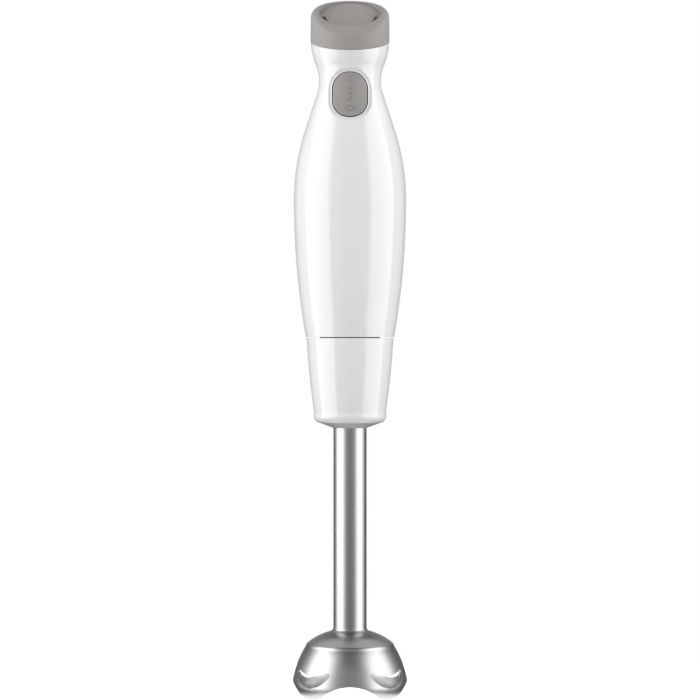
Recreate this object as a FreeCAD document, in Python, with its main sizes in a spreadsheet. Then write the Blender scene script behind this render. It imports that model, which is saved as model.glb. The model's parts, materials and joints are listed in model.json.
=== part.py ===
import FreeCAD, Part
import math
import os
import re
import Sketcher

# An immersion blender: a motor unit in a white two-part housing with a grey cap and one press button, and
# a push-fit foot with a steel tube, a steel blade guard and the blade. Millimetres, +Z up. The front, with
# the button, faces -Y, and the origin is at the middle of the circle that the guard stands on.

Vec = FreeCAD.Vector

DIMENSIONS = {
    # housing profile, as radii about Z and heights
    "seam_height": 196.4, "seam_gap": 0.5, "housing_wall": 2.2,
    "belly_radius": 31.0, "belly_height": 272.6, "belly_lower_arc": 436.6, "belly_upper_arc": 122.8,
    "neck_radius": 17.1, "neck_height": 338.3, "neck_arc": 21.5,
    "head_radius": 21.8, "head_height": 362.0,
    "cap_top_radius": 21.4, "cap_top_limit": 392.0,
    "cap_seam_height": 360.3, "cap_seam_tilt": 18.9, "cap_seam_line": 0.3,
    "cap_top_height": 372.85, "cap_top_tilt": 30.2, "cap_crown": 103.0, "cap_crown_reach": 24.0,
    "cap_edge_round": 3.6,
    "lip_radius": 20.4, "lip_outer_radius": 23.0, "lip_top": 198.4, "rib_bottom": 201.3, "rib_top": 202.8,
    "tool_reach": 60.0, "tool_rise": 80.0,
    # cap recess and its insert
    "recess_radius": 17.2, "recess_height": 373.9, "recess_tilt": 33.0, "recess_reach": 12.0,
    "insert_thickness": 1.8, "insert_clearance": 0.15,
    "insert_float": 0.1,
    "cap_bore_radius": 13.9, "cap_skirt_radius": 17.2, "cap_skirt_depth": 3.0,
    "dish_radius": 48.0, "dish_depth": 1.1, "vent_inner_radius": 13.4, "vent_outer_radius": 16.0,
    "vent_start_angle": 50.0, "vent_end_angle": 90.0, "vent_depth": 4.0,
    # cord inlet at the back of the cap
    "inlet_height": 374.0, "inlet_bore": 3.6, "inlet_radius": 5.4, "inlet_hole": 4.6, "inlet_end": 28.0,
    "inlet_start": 15.6, "inlet_wall_in": 17.4, "inlet_wall_out": 22.2, "inlet_flange": 0.4,
    # press button
    "button_height": 329.1, "button_half_width": 9.4, "button_half_tall": 12.25, "button_corner": 8.9,
    "button_gap": 0.45, "button_dish_margin": 2.2, "button_dish_depth": 0.7, "button_proud": 0.25,
    "button_thickness": 2.9, "button_flange_margin": 2.0, "button_flange_clearance": 0.35,
    "button_flange_thickness": 1.1, "button_stem_radius": 2.0, "button_stem_front": 16.6,
    "button_travel": 2.0,
    # switch, its board and the button's spring
    "switch_front": 9.0, "switch_back": 1.2, "switch_half_width": 5.5, "switch_bottom": 321.0,
    "switch_top": 337.0, "plunger_radius": 1.6, "plunger_front": 12.3, "plunger_depth": 3.8,
    "plunger_end_gap": 0.8, "board_gap": 0.1,
    "board_thickness": 1.6, "board_half_width": 10.5, "board_bottom": 309.0, "board_top": 347.0,
    "spring_wire": 0.35, "spring_coil_radius": 3.1, "spring_front": 14.0, "spring_turns": 5.0,
    "spring_end_gap": 0.1,
    # spigot under the motor, which the foot is pushed on to
    "flange_radius": 21.7, "flange_bottom": 198.7, "flange_top": 201.0, "spigot_radius": 16.5,
    "spigot_inner_radius": 12.5, "spigot_bottom": 174.0, "web_bottom": 199.0, "web_hole_radius": 6.5,
    "upstand_outer_radius": 14.2, "upstand_inner_radius": 12.0, "upstand_top": 208.5,
    "seal_groove_bottom": 180.0, "seal_groove_top": 182.4, "seal_groove_radius": 15.3,
    "key_width": 3.0, "key_radius": 17.6, "key_bottom": 187.0, "key_clearance": 0.3,
    # motor
    "shaft_radius": 3.0, "shaft_bottom": 193.2, "shaft_top": 288.0, "running_clearance": 0.04,
    "press_clearance": 0.02, "bore_end_gap": 0.1, "ring_lip": 0.5, "ring_gap": 0.1,
    "bracket_rim": 2.7, "bracket_window_start": 28.0, "bracket_window_end": 62.0,
    "race_width": 1.1, "race_groove": 0.4, "tie_clearance": 0.2, "tie_end_gap": 0.5,
    "mount_ring_thickness": 2.8, "bracket_bottom": 211.5, "bracket_thickness": 5.0,
    "lower_bracket_radius": 23.2, "bearing_radius": 6.5, "bearing_lip_radius": 5.0, "bearing_lip": 0.5,
    "upper_bracket_bottom": 280.5, "upper_bracket_radius": 24.2, "upper_ring_radius": 28.0,
    "tie_spacing": 21.3, "tie_radius": 1.5, "tie_head_radius": 2.6, "tie_head_height": 2.4,
    "fan_bottom": 218.0, "fan_height": 8.0, "fan_radius": 17.5, "fan_hub_radius": 5.5, "fan_plate": 1.2,
    "vane_width": 1.0, "vane_gap": 0.4,
    "core_bottom": 236.0, "core_height": 24.0, "stator_radius": 23.6, "yoke_inner_radius": 19.4,
    "shoe_inner_radius": 13.0, "shoe_outer_radius": 15.4, "shoe_half_angle": 56.0, "pole_half_width": 7.0,
    "coil_thickness": 5.0, "coil_clearance": 0.3, "rotor_radius": 12.4, "slot_bottom_radius": 7.4,
    "slot_width": 2.6, "winding_end": 5.6, "winding_radius": 11.2, "winding_inner_radius": 4.2,
    "winding_round": 1.5, "winding_gap": 0.1,
    "commutator_bottom": 268.0, "commutator_height": 9.5, "commutator_radius": 8.0,
    "bar_gap": 0.5, "bar_depth": 0.8, "brush_clearance": 0.1,
    "brush_spring_wire": 0.3, "brush_spring_turns": 4.0,
    "brush_half_width": 2.4, "brush_bottom": 269.6, "brush_top": 275.6, "brush_length": 8.6,
    "brush_gap": 0.3, "holder_wall": 1.5, "holder_inner_end": 10.4, "holder_outer_end": 22.4,
    # drive between motor and foot
    "coupling_bottom": 181.0, "coupling_top": 197.0, "coupling_radius": 9.0, "hex_radius": 5.0,
    "coupling_end_radius": 6.5, "hub_chamfer": 0.8,
    "hex_clearance": 0.35, "hex_top": 191.0, "hex_shoulder": 180.0, "hub_bottom": 168.0, "hub_radius": 6.2,
    "socket_top": 192.4,
    # foot collar and its liner
    "collar_top_radius": 24.0, "collar_wall": 2.0, "collar_side_arc": 470.0, "collar_corner_radius": 19.8,
    "collar_corner_height": 155.2, "collar_corner_arc": 4.2, "collar_edge_radius": 18.2,
    "collar_edge_height": 150.1, "collar_bottom": 146.8,
    "liner_inner_radius": 16.9, "liner_outer_radius": 19.2, "liner_top": 196.0, "liner_bottom": 153.8,
    "liner_base_radius": 14.6, "liner_foot_radius": 17.6, "liner_foot_start": 158.8,
    "liner_foot_end": 162.8, "liner_cup_start": 173.0, "liner_flange": 3.0, "liner_flange_radius": 21.2,
    "liner_floor": 167.0,
    # steel tube and shaft supports
    "tube_radius": 9.17, "tube_wall": 0.8, "tube_bottom": 34.6, "tube_top": 166.0, "fit_gap": 0.05,
    "lower_bush_bottom": 35.0, "lower_bush_top": 47.0, "guide_bottom": 96.0, "guide_top": 103.0,
    "upper_bush_bottom": 155.0, "upper_bush_top": 163.0, "guide_clearance": 0.3,
    "drive_shaft_top": 177.5, "drive_shaft_bottom": 16.0, "shaft_chamfer": 0.4,
    "clip_bottom": 163.6, "clip_thickness": 0.8, "clip_radius": 5.6, "clip_mouth": 3.6,
    # blade guard
    "guard_sheet": 1.0, "guard_neck_top": 36.6, "guard_neck_radius": 10.7, "guard_neck_height": 34.7,
    "guard_neck_arc": 2.4, "guard_dome_radius": 23.1, "guard_dome_height": 28.6, "guard_dome_arc": 34.0,
    "guard_shoulder_radius": 24.3, "guard_shoulder_height": 26.8, "guard_shoulder_arc": 2.4,
    "guard_skirt_radius": 31.7, "guard_skirt_height": 7.3, "guard_skirt_arc": 54.0,
    "guard_rim_radius": 30.3, "guard_rim_arc": 18.0,
    "arch_height": 8.0, "arch_half_width": 20.7, "arch_crown_arc": 22.0,
    "window_half_width": 12.2, "window_end_height": 13.2, "window_low_arc": 14.0,
    "window_shoulder": 10.2, "window_shoulder_height": 15.0, "window_high_arc": 25.0, "window_end_arc": 1.6,
    # seal and hub in the guard, and the blade
    "guard_hub_radius": 11.5, "guard_hub_bottom": 25.6, "guard_hub_top": 31.8, "guard_hub_boss": 34.2,
    "guard_hub_boss_radius": 8.2, "guard_hub_bore": 3.6, "seal_radius": 7.0, "seal_bottom": 26.0,
    "seal_top": 30.0, "seal_lip": 1.0, "seal_wall": 1.6,
    "spacer_radius": 4.6, "spacer_bottom": 21.3, "spacer_top": 25.3, "blade_top": 21.2,
    "blade_thickness": 1.2, "blade_half_width": 3.8, "blade_reach": 21.5,
    "blade_bend": 9.5, "blade_tip_drop": 4.2, "nut_radius": 4.3, "nut_bottom": 14.6,
    # housing screws, from the back
    "screw_radius": 1.25, "screw_head_radius": 2.2, "screw_head_height": 1.9, "screw_counterbore": 2.4,
    "thread_clearance": 0.03, "screw_clearance": 0.15, "screw_end_gap": 0.5,
    "boss_radius": 3.2, "upper_screw_height": 300.0, "upper_screw_seat": 14.0, "upper_boss_end": 25.6,
    "lower_screw_height": 207.0, "lower_screw_spacing": 17.8, "lower_screw_seat": 7.0,
    "lower_boss_end": 14.2, "screw_reach": 11.0,
}

doc = FreeCAD.newDocument("immersion_blender")
dims = doc.addObject("Spreadsheet::Sheet", "dims")
for row, (alias, number) in enumerate(DIMENSIONS.items(), start=1):
    dims.set(f"A{row}", alias)
    dims.set(f"B{row}", str(number))
    dims.setAlias(f"B{row}", alias)
doc.recompute()

# Derived stretches of the housing profile: a lower and an upper belly arc, a straight that is tangent to the
# upper belly arc and to the hollow neck arc, and a head arc that the neck arc runs into.
BELLY_LOW_X = "(belly_radius - belly_lower_arc)"
BELLY_HIGH_X = "(belly_radius - belly_upper_arc)"
NECK_X = "(neck_radius + neck_arc)"
NECK_RISE = "(neck_height - belly_height)"
NECK_REACH = f"({NECK_X} - {BELLY_HIGH_X})"
TANGENT = (f"(atan2({NECK_RISE}; {NECK_REACH}) - "
           f"acos((belly_upper_arc + neck_arc) / sqrt({NECK_RISE}^2 + {NECK_REACH}^2)))")
HEAD_RISE = "(head_height - neck_height)"
HEAD_STEP = f"({NECK_X} - head_radius)"
HEAD_ARC = f"(({HEAD_STEP}^2 + {HEAD_RISE}^2 - neck_arc^2) / (2 * (neck_arc - {HEAD_STEP})))"
HEAD_ANGLE = f"asin({HEAD_RISE} / (neck_arc + {HEAD_ARC}))"
TUBE_HOLE = "(tube_radius + fit_gap)"
PRESSED_BORE = "(shaft_radius + press_clearance)"
LEFT, RIGHT = 1, -1
ROTOR_SLOTS, COMMUTATOR_BARS, FAN_VANES, KEYS, RIM_LOBES = 12, 24, 9, 3, 4


def bound(expression):
    """The expression with each sheet alias written the way another object reads it."""
    def prefixed(word):
        return f"dims.{word.group()}" if word.group() in DIMENSIONS else word.group()
    return re.sub(r"[a-z][a-z_0-9]*", prefixed, str(expression))


def size(expression):
    """The expression's value now."""
    result = dims.evalExpression(str(expression))
    return float(getattr(result, "Value", result))


def new_body(name):
    body = doc.addObject("PartDesign::Body", name)
    body.Label = name
    return body


def new_sketch(body, plane, lift=0, turn=None):
    """A sketch on one of the body's origin planes, lifted off it, and turned by (axis, angle)."""
    sketch = body.newObject("Sketcher::SketchObject", f"{body.Name}_sketch")
    support = next(item for item in body.Origin.OriginFeatures if item.Role == plane)
    sketch.AttachmentSupport = [(support, "")]
    sketch.MapMode = "FlatFace"
    rotation = FreeCAD.Rotation(turn[0], size(turn[1])) if turn else FreeCAD.Rotation()
    sketch.AttachmentOffset = FreeCAD.Placement(Vec(0, 0, size(lift)), rotation)
    if lift:
        sketch.setExpression("AttachmentOffset.Base.z", bound(lift))
    return sketch


def pin_point(sketch, geometry, end, across, up):
    for kind, expression in (("DistanceX", across), ("DistanceY", up)):
        index = sketch.addConstraint(Sketcher.Constraint(kind, -1, 1, geometry, end, size(expression)))
        if isinstance(expression, str):
            sketch.setExpression(f"Constraints[{index}]", bound(expression))


def arc_between(start, end, radius, side):
    """The arc from start to end, curving to its LEFT or RIGHT, and the order of its end points."""
    chord = end - start
    height = math.sqrt(max(radius ** 2 - (chord.Length / 2) ** 2, 0.0))
    normal = Vec(-chord.y, chord.x, 0).normalize()
    centre = (start + end) * 0.5 + normal * height * side
    first, last = (start, end) if side == LEFT else (end, start)
    angles = [math.atan2(point.y - centre.y, point.x - centre.x) for point in (first, last)]
    if angles[1] < angles[0]:
        angles[1] += 2 * math.pi
    arc = Part.ArcOfCircle(Part.Circle(centre, Vec(0, 0, 1), radius), *angles)
    return arc, (1, 2) if side == LEFT else (2, 1)


def draw_outline(sketch, outline):
    """A closed outline. A point is (across, up), or (across, up, radius, side) if an arc arrives there."""
    count = len(outline)
    corners = [Vec(size(point[0]), size(point[1]), 0) for point in outline]
    ends = []
    first = sketch.GeometryCount
    for index, point in enumerate(outline):
        start, end = corners[index - 1], corners[index]
        if len(point) == 4:
            curve, order = arc_between(start, end, size(point[2]), point[3])
        else:
            curve, order = Part.LineSegment(start, end), (1, 2)
        sketch.addGeometry(curve)
        ends.append(order)
    for index, point in enumerate(outline):
        here, after = first + index, first + (index + 1) % count
        sketch.addConstraint(Sketcher.Constraint("Coincident", here, ends[index][1], after,
                                                 ends[(index + 1) % count][0]))
        pin_point(sketch, here, ends[index][1], point[0], point[1])
        if len(point) == 4:
            radius = sketch.addConstraint(Sketcher.Constraint("Radius", here, size(point[2])))
            sketch.setExpression(f"Constraints[{radius}]", bound(point[2]))


def draw_circle(sketch, radius, across=0, up=0):
    index = sketch.addGeometry(Part.Circle(Vec(size(across), size(up), 0), Vec(0, 0, 1), size(radius)))
    pin_point(sketch, index, 3, across, up)
    constraint = sketch.addConstraint(Sketcher.Constraint("Radius", index, size(radius)))
    sketch.setExpression(f"Constraints[{constraint}]", bound(radius))


def draw_box(sketch, left, bottom, right, top):
    draw_outline(sketch, [(left, bottom), (right, bottom), (right, top), (left, top)])


def draw_rounded(sketch, half_width, half_tall, middle, corner):
    """A rounded rectangle about the vertical line through the sketch's origin."""
    inner_x, inner_y = f"({half_width} - ({corner}))", f"({half_tall} - ({corner}))"
    top, bottom = f"({middle} + {half_tall})", f"({middle} - {half_tall})"
    upper, lower = f"({middle} + {inner_y})", f"({middle} - {inner_y})"
    draw_outline(sketch, [
        (inner_x, bottom), (half_width, lower, corner, LEFT),
        (half_width, upper), (inner_x, top, corner, LEFT),
        (f"-{inner_x}", top), (f"-({half_width})", upper, corner, LEFT),
        (f"-({half_width})", lower), (f"-{inner_x}", bottom, corner, LEFT)])


def feature(body, kind, sketch, **settings):
    """Adds a feature made from a sketch. A setting given as text is bound to the sheet."""
    before = body.Shape.Volume if body.Tip else 0.0
    made = body.newObject(f"PartDesign::{kind}", f"{body.Name}_{kind.lower()}")
    made.Profile = sketch
    if kind in ("Revolution", "Groove"):
        made.ReferenceAxis = (sketch, ["V_Axis"])
    for name, setting in settings.items():
        if isinstance(setting, str) and name in ("Length", "Length2", "Angle"):
            made.setExpression(name, bound(setting))
        else:
            setattr(made, name, setting)
    doc.recompute()
    removes = kind in ("Pocket", "Groove")
    change = body.Shape.Volume - before
    if abs(change) < 1e-3 or (change > 0) == removes:
        raise RuntimeError(f"{made.Name} changed the volume by {change:.3f}")
    return made


def repeat(body, made, count, angle=360):
    """Repeats a feature about the body's Z axis."""
    pattern = body.newObject("PartDesign::PolarPattern", f"{made.Name}_pattern")
    pattern.Originals = [made]
    pattern.Axis = (next(item for item in body.Origin.OriginFeatures if item.Role == "Z_Axis"), [""])
    pattern.Angle = angle
    pattern.Occurrences = count
    body.Tip = pattern
    doc.recompute()
    return pattern


def turned(name, outline, angle=360, backwards=False):
    """A body turned about Z from an outline of (radius, height) points."""
    body = new_body(name)
    sketch = new_sketch(body, "XZ_Plane")
    draw_outline(sketch, outline)
    feature(body, "Revolution", sketch, Angle=angle, Reversed=backwards)
    return body


def ring(name, inner, outer, bottom, top):
    return turned(name, [(inner, bottom), (outer, bottom), (outer, top), (inner, top)])


def slab(name, bottom, thickness, draw):
    """A body padded up from a flat sketch at one height, which draw() fills."""
    body = new_body(name)
    sketch = new_sketch(body, "XY_Plane", lift=bottom)
    draw(sketch)
    feature(body, "Pad", sketch, Length=thickness)
    return body


def combined(kind, name, *parts):
    """A Part boolean of finished objects: Cut and Common take two, MultiFuse takes any number."""
    made = doc.addObject(f"Part::{kind}", name)
    if kind == "MultiFuse":
        made.Shapes = list(parts)
    else:
        made.Base, made.Tool = parts
    made.Label = name
    doc.recompute()
    return made


def rod(name, radius, start, along, length):
    """A Part cylinder from a point (three expressions), along a direction."""
    made = doc.addObject("Part::Cylinder", name)
    made.setExpression("Radius", bound(radius))
    made.setExpression("Height", bound(length))
    made.Placement = FreeCAD.Placement(Vec(*[size(part) for part in start]),
                                       FreeCAD.Rotation(Vec(0, 0, 1), Vec(*along)))
    for axis, expression in zip("xyz", start):
        made.setExpression(f"Placement.Base.{axis}", bound(expression))
    return made


def box(name, low, high):
    """A Part box between two corners given as expressions."""
    made = doc.addObject("Part::Box", name)
    for side, start, end in zip(("Length", "Width", "Height"), low, high):
        made.setExpression(side, bound(f"({end}) - ({start})"))
    for axis, start in zip("xyz", low):
        made.setExpression(f"Placement.Base.{axis}", bound(start))
    return made


def on_both_sides(name, half, axis):
    """The object and its mirror image, as two solids of one sub-part."""
    mirror = doc.addObject("Part::Mirroring", f"{name}_mirror")
    mirror.Source = half
    mirror.Normal = axis
    pair = doc.addObject("Part::Compound", name)
    pair.Links = [half, mirror]
    pair.Label = name
    doc.recompute()
    return pair


def housing_side(inset):
    """The housing's outer profile moved inwards, from the foot seam up to the widest line of the head."""
    low, high = f"(belly_lower_arc - ({inset}))", f"(belly_upper_arc - ({inset}))"
    neck, head = f"(neck_arc + ({inset}))", f"({HEAD_ARC} - ({inset}))"
    bottom = "(seam_height + seam_gap)"
    straight_start = (f"{BELLY_HIGH_X} + {high} * cos({TANGENT})", f"belly_height + {high} * sin({TANGENT})")
    straight_end = (f"{NECK_X} - {neck} * cos({TANGENT})", f"neck_height - {neck} * sin({TANGENT})")
    neck_end = (f"{NECK_X} - {neck} * cos({HEAD_ANGLE})", f"neck_height + {neck} * sin({HEAD_ANGLE})")
    return [
        (f"{BELLY_LOW_X} + sqrt({low}^2 - (belly_height - {bottom})^2)", bottom),
        (f"belly_radius - ({inset})", "belly_height", low, LEFT),
        (*straight_start, high, LEFT),
        straight_end,
        (*neck_end, neck, RIGHT),
        (f"head_radius - ({inset})", "head_height", head, LEFT),
    ]


def reversed_side(side):
    """The same stretch walked the other way, so that it can close an outline."""
    walked = []
    for index in range(len(side) - 1, -1, -1):
        after = side[index + 1] if index + 1 < len(side) else None
        if after and len(after) == 4:
            walked.append((*side[index][:2], after[2], -after[3]))
        else:
            walked.append(side[index][:2])
    return walked


def skin(name, outer_inset, inner_inset, angle=360, backwards=False):
    """A layer of the housing's form between two insets, closed above the head."""
    top_outer = (f"head_radius - ({outer_inset})", "cap_top_height")
    top_inner = (f"head_radius - ({inner_inset})", "cap_top_height")
    outline = housing_side(outer_inset) + [top_outer, top_inner] + reversed_side(housing_side(inner_inset))
    return turned(name, outline, angle, backwards)


def slope_sketch(body, height, tilt, above):
    """A sketch of all that lies above or below a plane that rises towards the back."""
    sketch = new_sketch(body, "YZ_Plane")
    limit = f"({height}) + tool_rise" if above else f"({height}) - tool_rise"
    draw_outline(sketch, [
        ("-tool_reach", f"({height}) - tool_reach * tan({tilt})"),
        ("tool_reach", f"({height}) + tool_reach * tan({tilt})"),
        ("tool_reach", limit), ("-tool_reach", limit)])
    return sketch


def cut_by_slope(body, height, tilt, above):
    """Removes what lies above or below a plane that rises towards the back."""
    feature(body, "Pocket", slope_sketch(body, height, tilt, above), Type="ThroughAll", Midplane=True)


def screw_places():
    """Each housing screw: its X, height, head seat and boss end."""
    return [
        ("upper", "0", "upper_screw_height", "upper_screw_seat", "upper_boss_end"),
        ("left", "-lower_screw_spacing", "lower_screw_height", "lower_screw_seat", "lower_boss_end"),
        ("right", "lower_screw_spacing", "lower_screw_height", "lower_screw_seat", "lower_boss_end"),
    ]


def half_ring(name, bottom, top, front):
    """Half a ring inside the housing, from the lip's radius into the wall."""
    outline = [("lip_radius", bottom), ("lip_outer_radius", bottom), ("lip_outer_radius", top),
               ("lip_radius", top)]
    return turned(name, outline, 180, backwards=front)


def housing_half(name, front):
    """One half of the housing: the shell, a lip and a rib round the spigot's flange, and three bosses."""
    shell = skin(f"{name}_shell", "0", "housing_wall", 180, backwards=front)
    lip = half_ring(f"{name}_lip", "seam_height + seam_gap", "lip_top", front)
    rib = half_ring(f"{name}_rib", "rib_bottom", "rib_top", front)
    side = -1 if front else 1
    pieces, holes = [shell, lip, rib], []
    for place, across, height, seat, end in screw_places():
        start = (across, "0", height)
        pieces.append(rod(f"{name}_{place}_boss", "boss_radius", start, (0, side, 0), end))
        hole = f"{name}_{place}_hole"
        if front:
            holes.append(rod(hole, "screw_radius + thread_clearance", start, (0, side, 0), "screw_reach"))
        else:
            head, seated = f"{name}_{place}_head", (across, seat, height)
            holes.append(rod(hole, "screw_radius + screw_clearance", start, (0, side, 0), seat))
            holes.append(rod(head, "screw_counterbore", seated, (0, side, 0), "belly_radius"))
    return combined("MultiFuse", f"{name}_solid", *pieces), holes


def slope_tool(name, height, tilt):
    """A large wedge over a plane that rises towards the back."""
    body = new_body(name)
    sketch = slope_sketch(body, height, tilt, above=True)
    feature(body, "Pad", sketch, Length="2 * tool_reach", Midplane=True)
    return body


def button_prism(name, margin):
    """A bar along Y with the button's outline, grown by a margin, through the front wall only."""
    body = new_body(name)
    sketch = new_sketch(body, "XZ_Plane")
    half_width, half_tall = f"(button_half_width + {margin})", f"(button_half_tall + {margin})"
    draw_rounded(sketch, half_width, half_tall, "button_height", f"(button_corner + {margin})")
    feature(body, "Pad", sketch, Length="tool_reach")
    return body


def front_housing():
    """The front half, with the button's opening and the shallow dish around it."""
    solid, holes = housing_half("front_housing", front=True)
    above = slope_tool("front_housing_above", "cap_seam_height - cap_seam_line", "cap_seam_tilt")
    opening = button_prism("front_housing_opening", "button_gap")
    dish_layer = skin("front_housing_dish_layer", "-button_dish_depth", "button_dish_depth")
    dish_prism = button_prism("front_housing_dish_prism", "button_dish_margin")
    dish = combined("Common", "front_housing_dish", dish_layer, dish_prism)
    cuts = combined("MultiFuse", "front_housing_cuts", above, opening, dish, *holes)
    return combined("Cut", "front_housing", solid, cuts)


def rear_housing():
    """The rear half, with the three counterbored screw holes."""
    solid, holes = housing_half("rear_housing", front=False)
    above = slope_tool("rear_housing_above", "cap_seam_height - cap_seam_line", "cap_seam_tilt")
    cuts = combined("MultiFuse", "rear_housing_cuts", above, *holes)
    return combined("Cut", "rear_housing", solid, cuts)


def housing_screws():
    screws = []
    for place, across, height, seat, _ in screw_places():
        shank = rod(f"screw_{place}_shank", "screw_radius", (across, seat, height), (0, -1, 0),
                    f"({seat}) + screw_reach - screw_end_gap")
        head = rod(f"screw_{place}_head", "screw_head_radius", (across, seat, height), (0, 1, 0),
                   "screw_head_height")
        screws.append(combined("MultiFuse", f"screw_{place}", shank, head))
    group = doc.addObject("Part::Compound", "housing_screws")
    group.Links = screws
    group.Label = "housing_screws"
    return group


def on_recess_floor(body, rise=0):
    """A sketch on the sloping floor of the cap's recess, or parallel to it and higher."""
    sketch = new_sketch(body, "XY_Plane", turn=(Vec(1, 0, 0), "recess_tilt"))
    sketch.setExpression("AttachmentOffset.Base.z", bound(f"recess_height + ({rise}) * cos(recess_tilt)"))
    sketch.setExpression("AttachmentOffset.Base.y", bound(f"-({rise}) * sin(recess_tilt)"))
    return sketch


def cut_by_crown(body):
    """Removes what lies above the cap's top, which slopes to the front and is crowned along its slope."""
    sketch = new_sketch(body, "YZ_Plane")

    def on_chord(reach):
        return reach, f"cap_top_height + ({reach}) * tan(cap_top_tilt)"

    draw_outline(sketch, [
        on_chord("-tool_reach"), on_chord("-cap_crown_reach"), (*on_chord("cap_crown_reach"), "cap_crown", RIGHT),
        on_chord("tool_reach"), ("tool_reach", "cap_top_height + tool_rise"),
        ("-tool_reach", "cap_top_height + tool_rise")])
    feature(body, "Pocket", sketch, Type="ThroughAll", Midplane=True)


def top_cap():
    """The grey cap: a crowned sloping top with a round edge, a recess for the insert, a hollow and a skirt."""
    body = turned("top_cap", [
        ("0", "neck_height"), ("head_radius", "neck_height"), ("head_radius", "head_height"),
        ("cap_top_radius", "cap_top_limit"), ("0", "cap_top_limit")])
    cut_by_slope(body, "cap_seam_height", "cap_seam_tilt", above=False)
    cut_by_crown(body)
    round_top_edge(body)
    skirt = new_sketch(body, "XY_Plane", lift="neck_height")
    draw_circle(skirt, "cap_skirt_radius")
    feature(body, "Pad", skirt, Length="cap_seam_height - neck_height")
    cut_by_slope(body, "cap_seam_height - cap_skirt_depth", "cap_seam_tilt", above=False)
    recess = on_recess_floor(body, "recess_reach")
    draw_circle(recess, "recess_radius")
    feature(body, "Pocket", recess, Length="recess_reach + insert_thickness")
    for side in (-1, 1):
        notch = on_recess_floor(body, "-insert_thickness")
        draw_vent(notch, side)
        feature(body, "Pocket", notch, Length="vent_depth")
    hollow = new_sketch(body, "XY_Plane", lift="cap_top_limit")
    draw_circle(hollow, "cap_bore_radius")
    feature(body, "Pocket", hollow, Type="ThroughAll")
    inlet = new_sketch(body, "XZ_Plane")
    draw_circle(inlet, "inlet_hole", "0", "inlet_height")
    feature(body, "Pocket", inlet, Length="belly_radius")
    return body


def round_top_edge(body):
    """Rounds the edge between the cap's crowned top and its side."""
    doc.recompute()
    crown, tilt = size("cap_crown"), math.radians(size("cap_top_tilt"))
    below = math.sqrt(crown ** 2 - (size("cap_crown_reach") / math.cos(tilt)) ** 2)
    middle = Vec(0, below * math.sin(tilt), size("cap_top_height") - below * math.cos(tilt))
    names, tolerance = [], 0.01
    for index, edge in enumerate(body.Shape.Edges, start=1):
        off = [math.hypot(point.y - middle.y, point.z - middle.z) - crown for point in edge.discretize(5)]
        if max(map(abs, off)) < tolerance:
            names.append(f"Edge{index}")
    base = body.Tip
    rounded = body.newObject("PartDesign::Fillet", "top_cap_edge")
    rounded.Base = (base, names)
    rounded.setExpression("Radius", bound("cap_edge_round"))
    doc.recompute()


def cap_insert():
    """The dished panel in the cap's recess, with a curved air slot at each side."""
    body = new_body("cap_insert_panel")
    panel = on_recess_floor(body)
    draw_circle(panel, "recess_radius - insert_clearance")
    feature(body, "Pad", panel, Length="insert_thickness - insert_float", Reversed=True)
    for side in (-1, 1):
        slot = on_recess_floor(body)
        draw_vent(slot, side)
        feature(body, "Pocket", slot, Type="ThroughAll")
    ball = doc.addObject("Part::Sphere", "cap_insert_ball")
    ball.setExpression("Radius", bound("dish_radius"))
    rise = "(dish_radius - dish_depth)"
    ball.setExpression("Placement.Base.y", bound(f"-{rise} * sin(recess_tilt)"))
    ball.setExpression("Placement.Base.z", bound(f"recess_height + {rise} * cos(recess_tilt)"))
    return combined("Cut", "cap_insert", body, ball)


def draw_vent(sketch, side):
    """The outline of one of the cap's air slots."""
    draw_slot_sector(sketch, "vent_inner_radius", "vent_outer_radius", "vent_start_angle", "vent_end_angle", side)


def draw_slot_sector(sketch, inner, outer, start, end, side):
    """A ring sector between two angles from the front, at one side."""
    def at(radius, angle):
        return f"{side} * ({radius}) * sin({angle})", f"-({radius}) * cos({angle})"
    far, near = (LEFT, RIGHT) if side > 0 else (RIGHT, LEFT)
    draw_outline(sketch, [(*at(inner, start), inner, near), at(outer, start), (*at(outer, end), outer, far),
                          at(inner, end)])


def cord_inlet():
    """The rubber grommet at the back of the cap that the mains lead enters by, turned about the Y axis."""
    body = new_body("cord_inlet")
    sketch = new_sketch(body, "YZ_Plane")
    neck, flange = "inlet_height + inlet_hole - fit_gap", "inlet_height + inlet_radius"
    draw_outline(sketch, [
        ("inlet_start", "inlet_height + inlet_bore"), ("inlet_end", "inlet_height + inlet_bore"),
        ("inlet_end", neck), ("inlet_wall_out", flange), ("inlet_wall_out - inlet_flange", flange),
        ("inlet_wall_out - inlet_flange", neck), ("inlet_wall_in", neck), ("inlet_start", neck)])
    start, end = Vec(0, size("inlet_height"), 0), Vec(size("inlet_end"), size("inlet_height"), 0)
    axis = sketch.addGeometry(Part.LineSegment(start, end), True)
    pin_point(sketch, axis, 1, "0", "inlet_height")
    pin_point(sketch, axis, 2, "inlet_end", "inlet_height")
    made = body.newObject("PartDesign::Revolution", "cord_inlet_turn")
    made.Profile = sketch
    made.ReferenceAxis = (sketch, ["Axis0"])
    made.Angle = 360
    doc.recompute()
    return body


def press_button():
    """The button: a pad in the housing's form, a flange behind the wall, and a stem to the plunger."""
    pad_skin = skin("button_pad_skin", "-button_proud", "button_thickness")
    pad = combined("Common", "button_pad", pad_skin, button_prism("button_pad_prism", "0"))
    behind = "(housing_wall + button_flange_clearance)"
    flange_skin = skin("button_flange_skin", behind, f"({behind} + button_flange_thickness)")
    flange = combined("Common", "button_flange", flange_skin,
                      button_prism("button_flange_prism", "button_flange_margin"))
    stem = rod("button_stem", "button_stem_radius", ("0", "-button_stem_front", "button_height"), (0, 1, 0),
               "button_stem_front - plunger_front")
    return combined("MultiFuse", "button", pad, flange, stem)


def switch_plunger():
    start = ("0", "-plunger_front + fit_gap", "button_height")
    return rod("switch_plunger", "plunger_radius", start, (0, 1, 0),
               "plunger_front - switch_front + plunger_depth - button_travel - plunger_end_gap")


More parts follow.
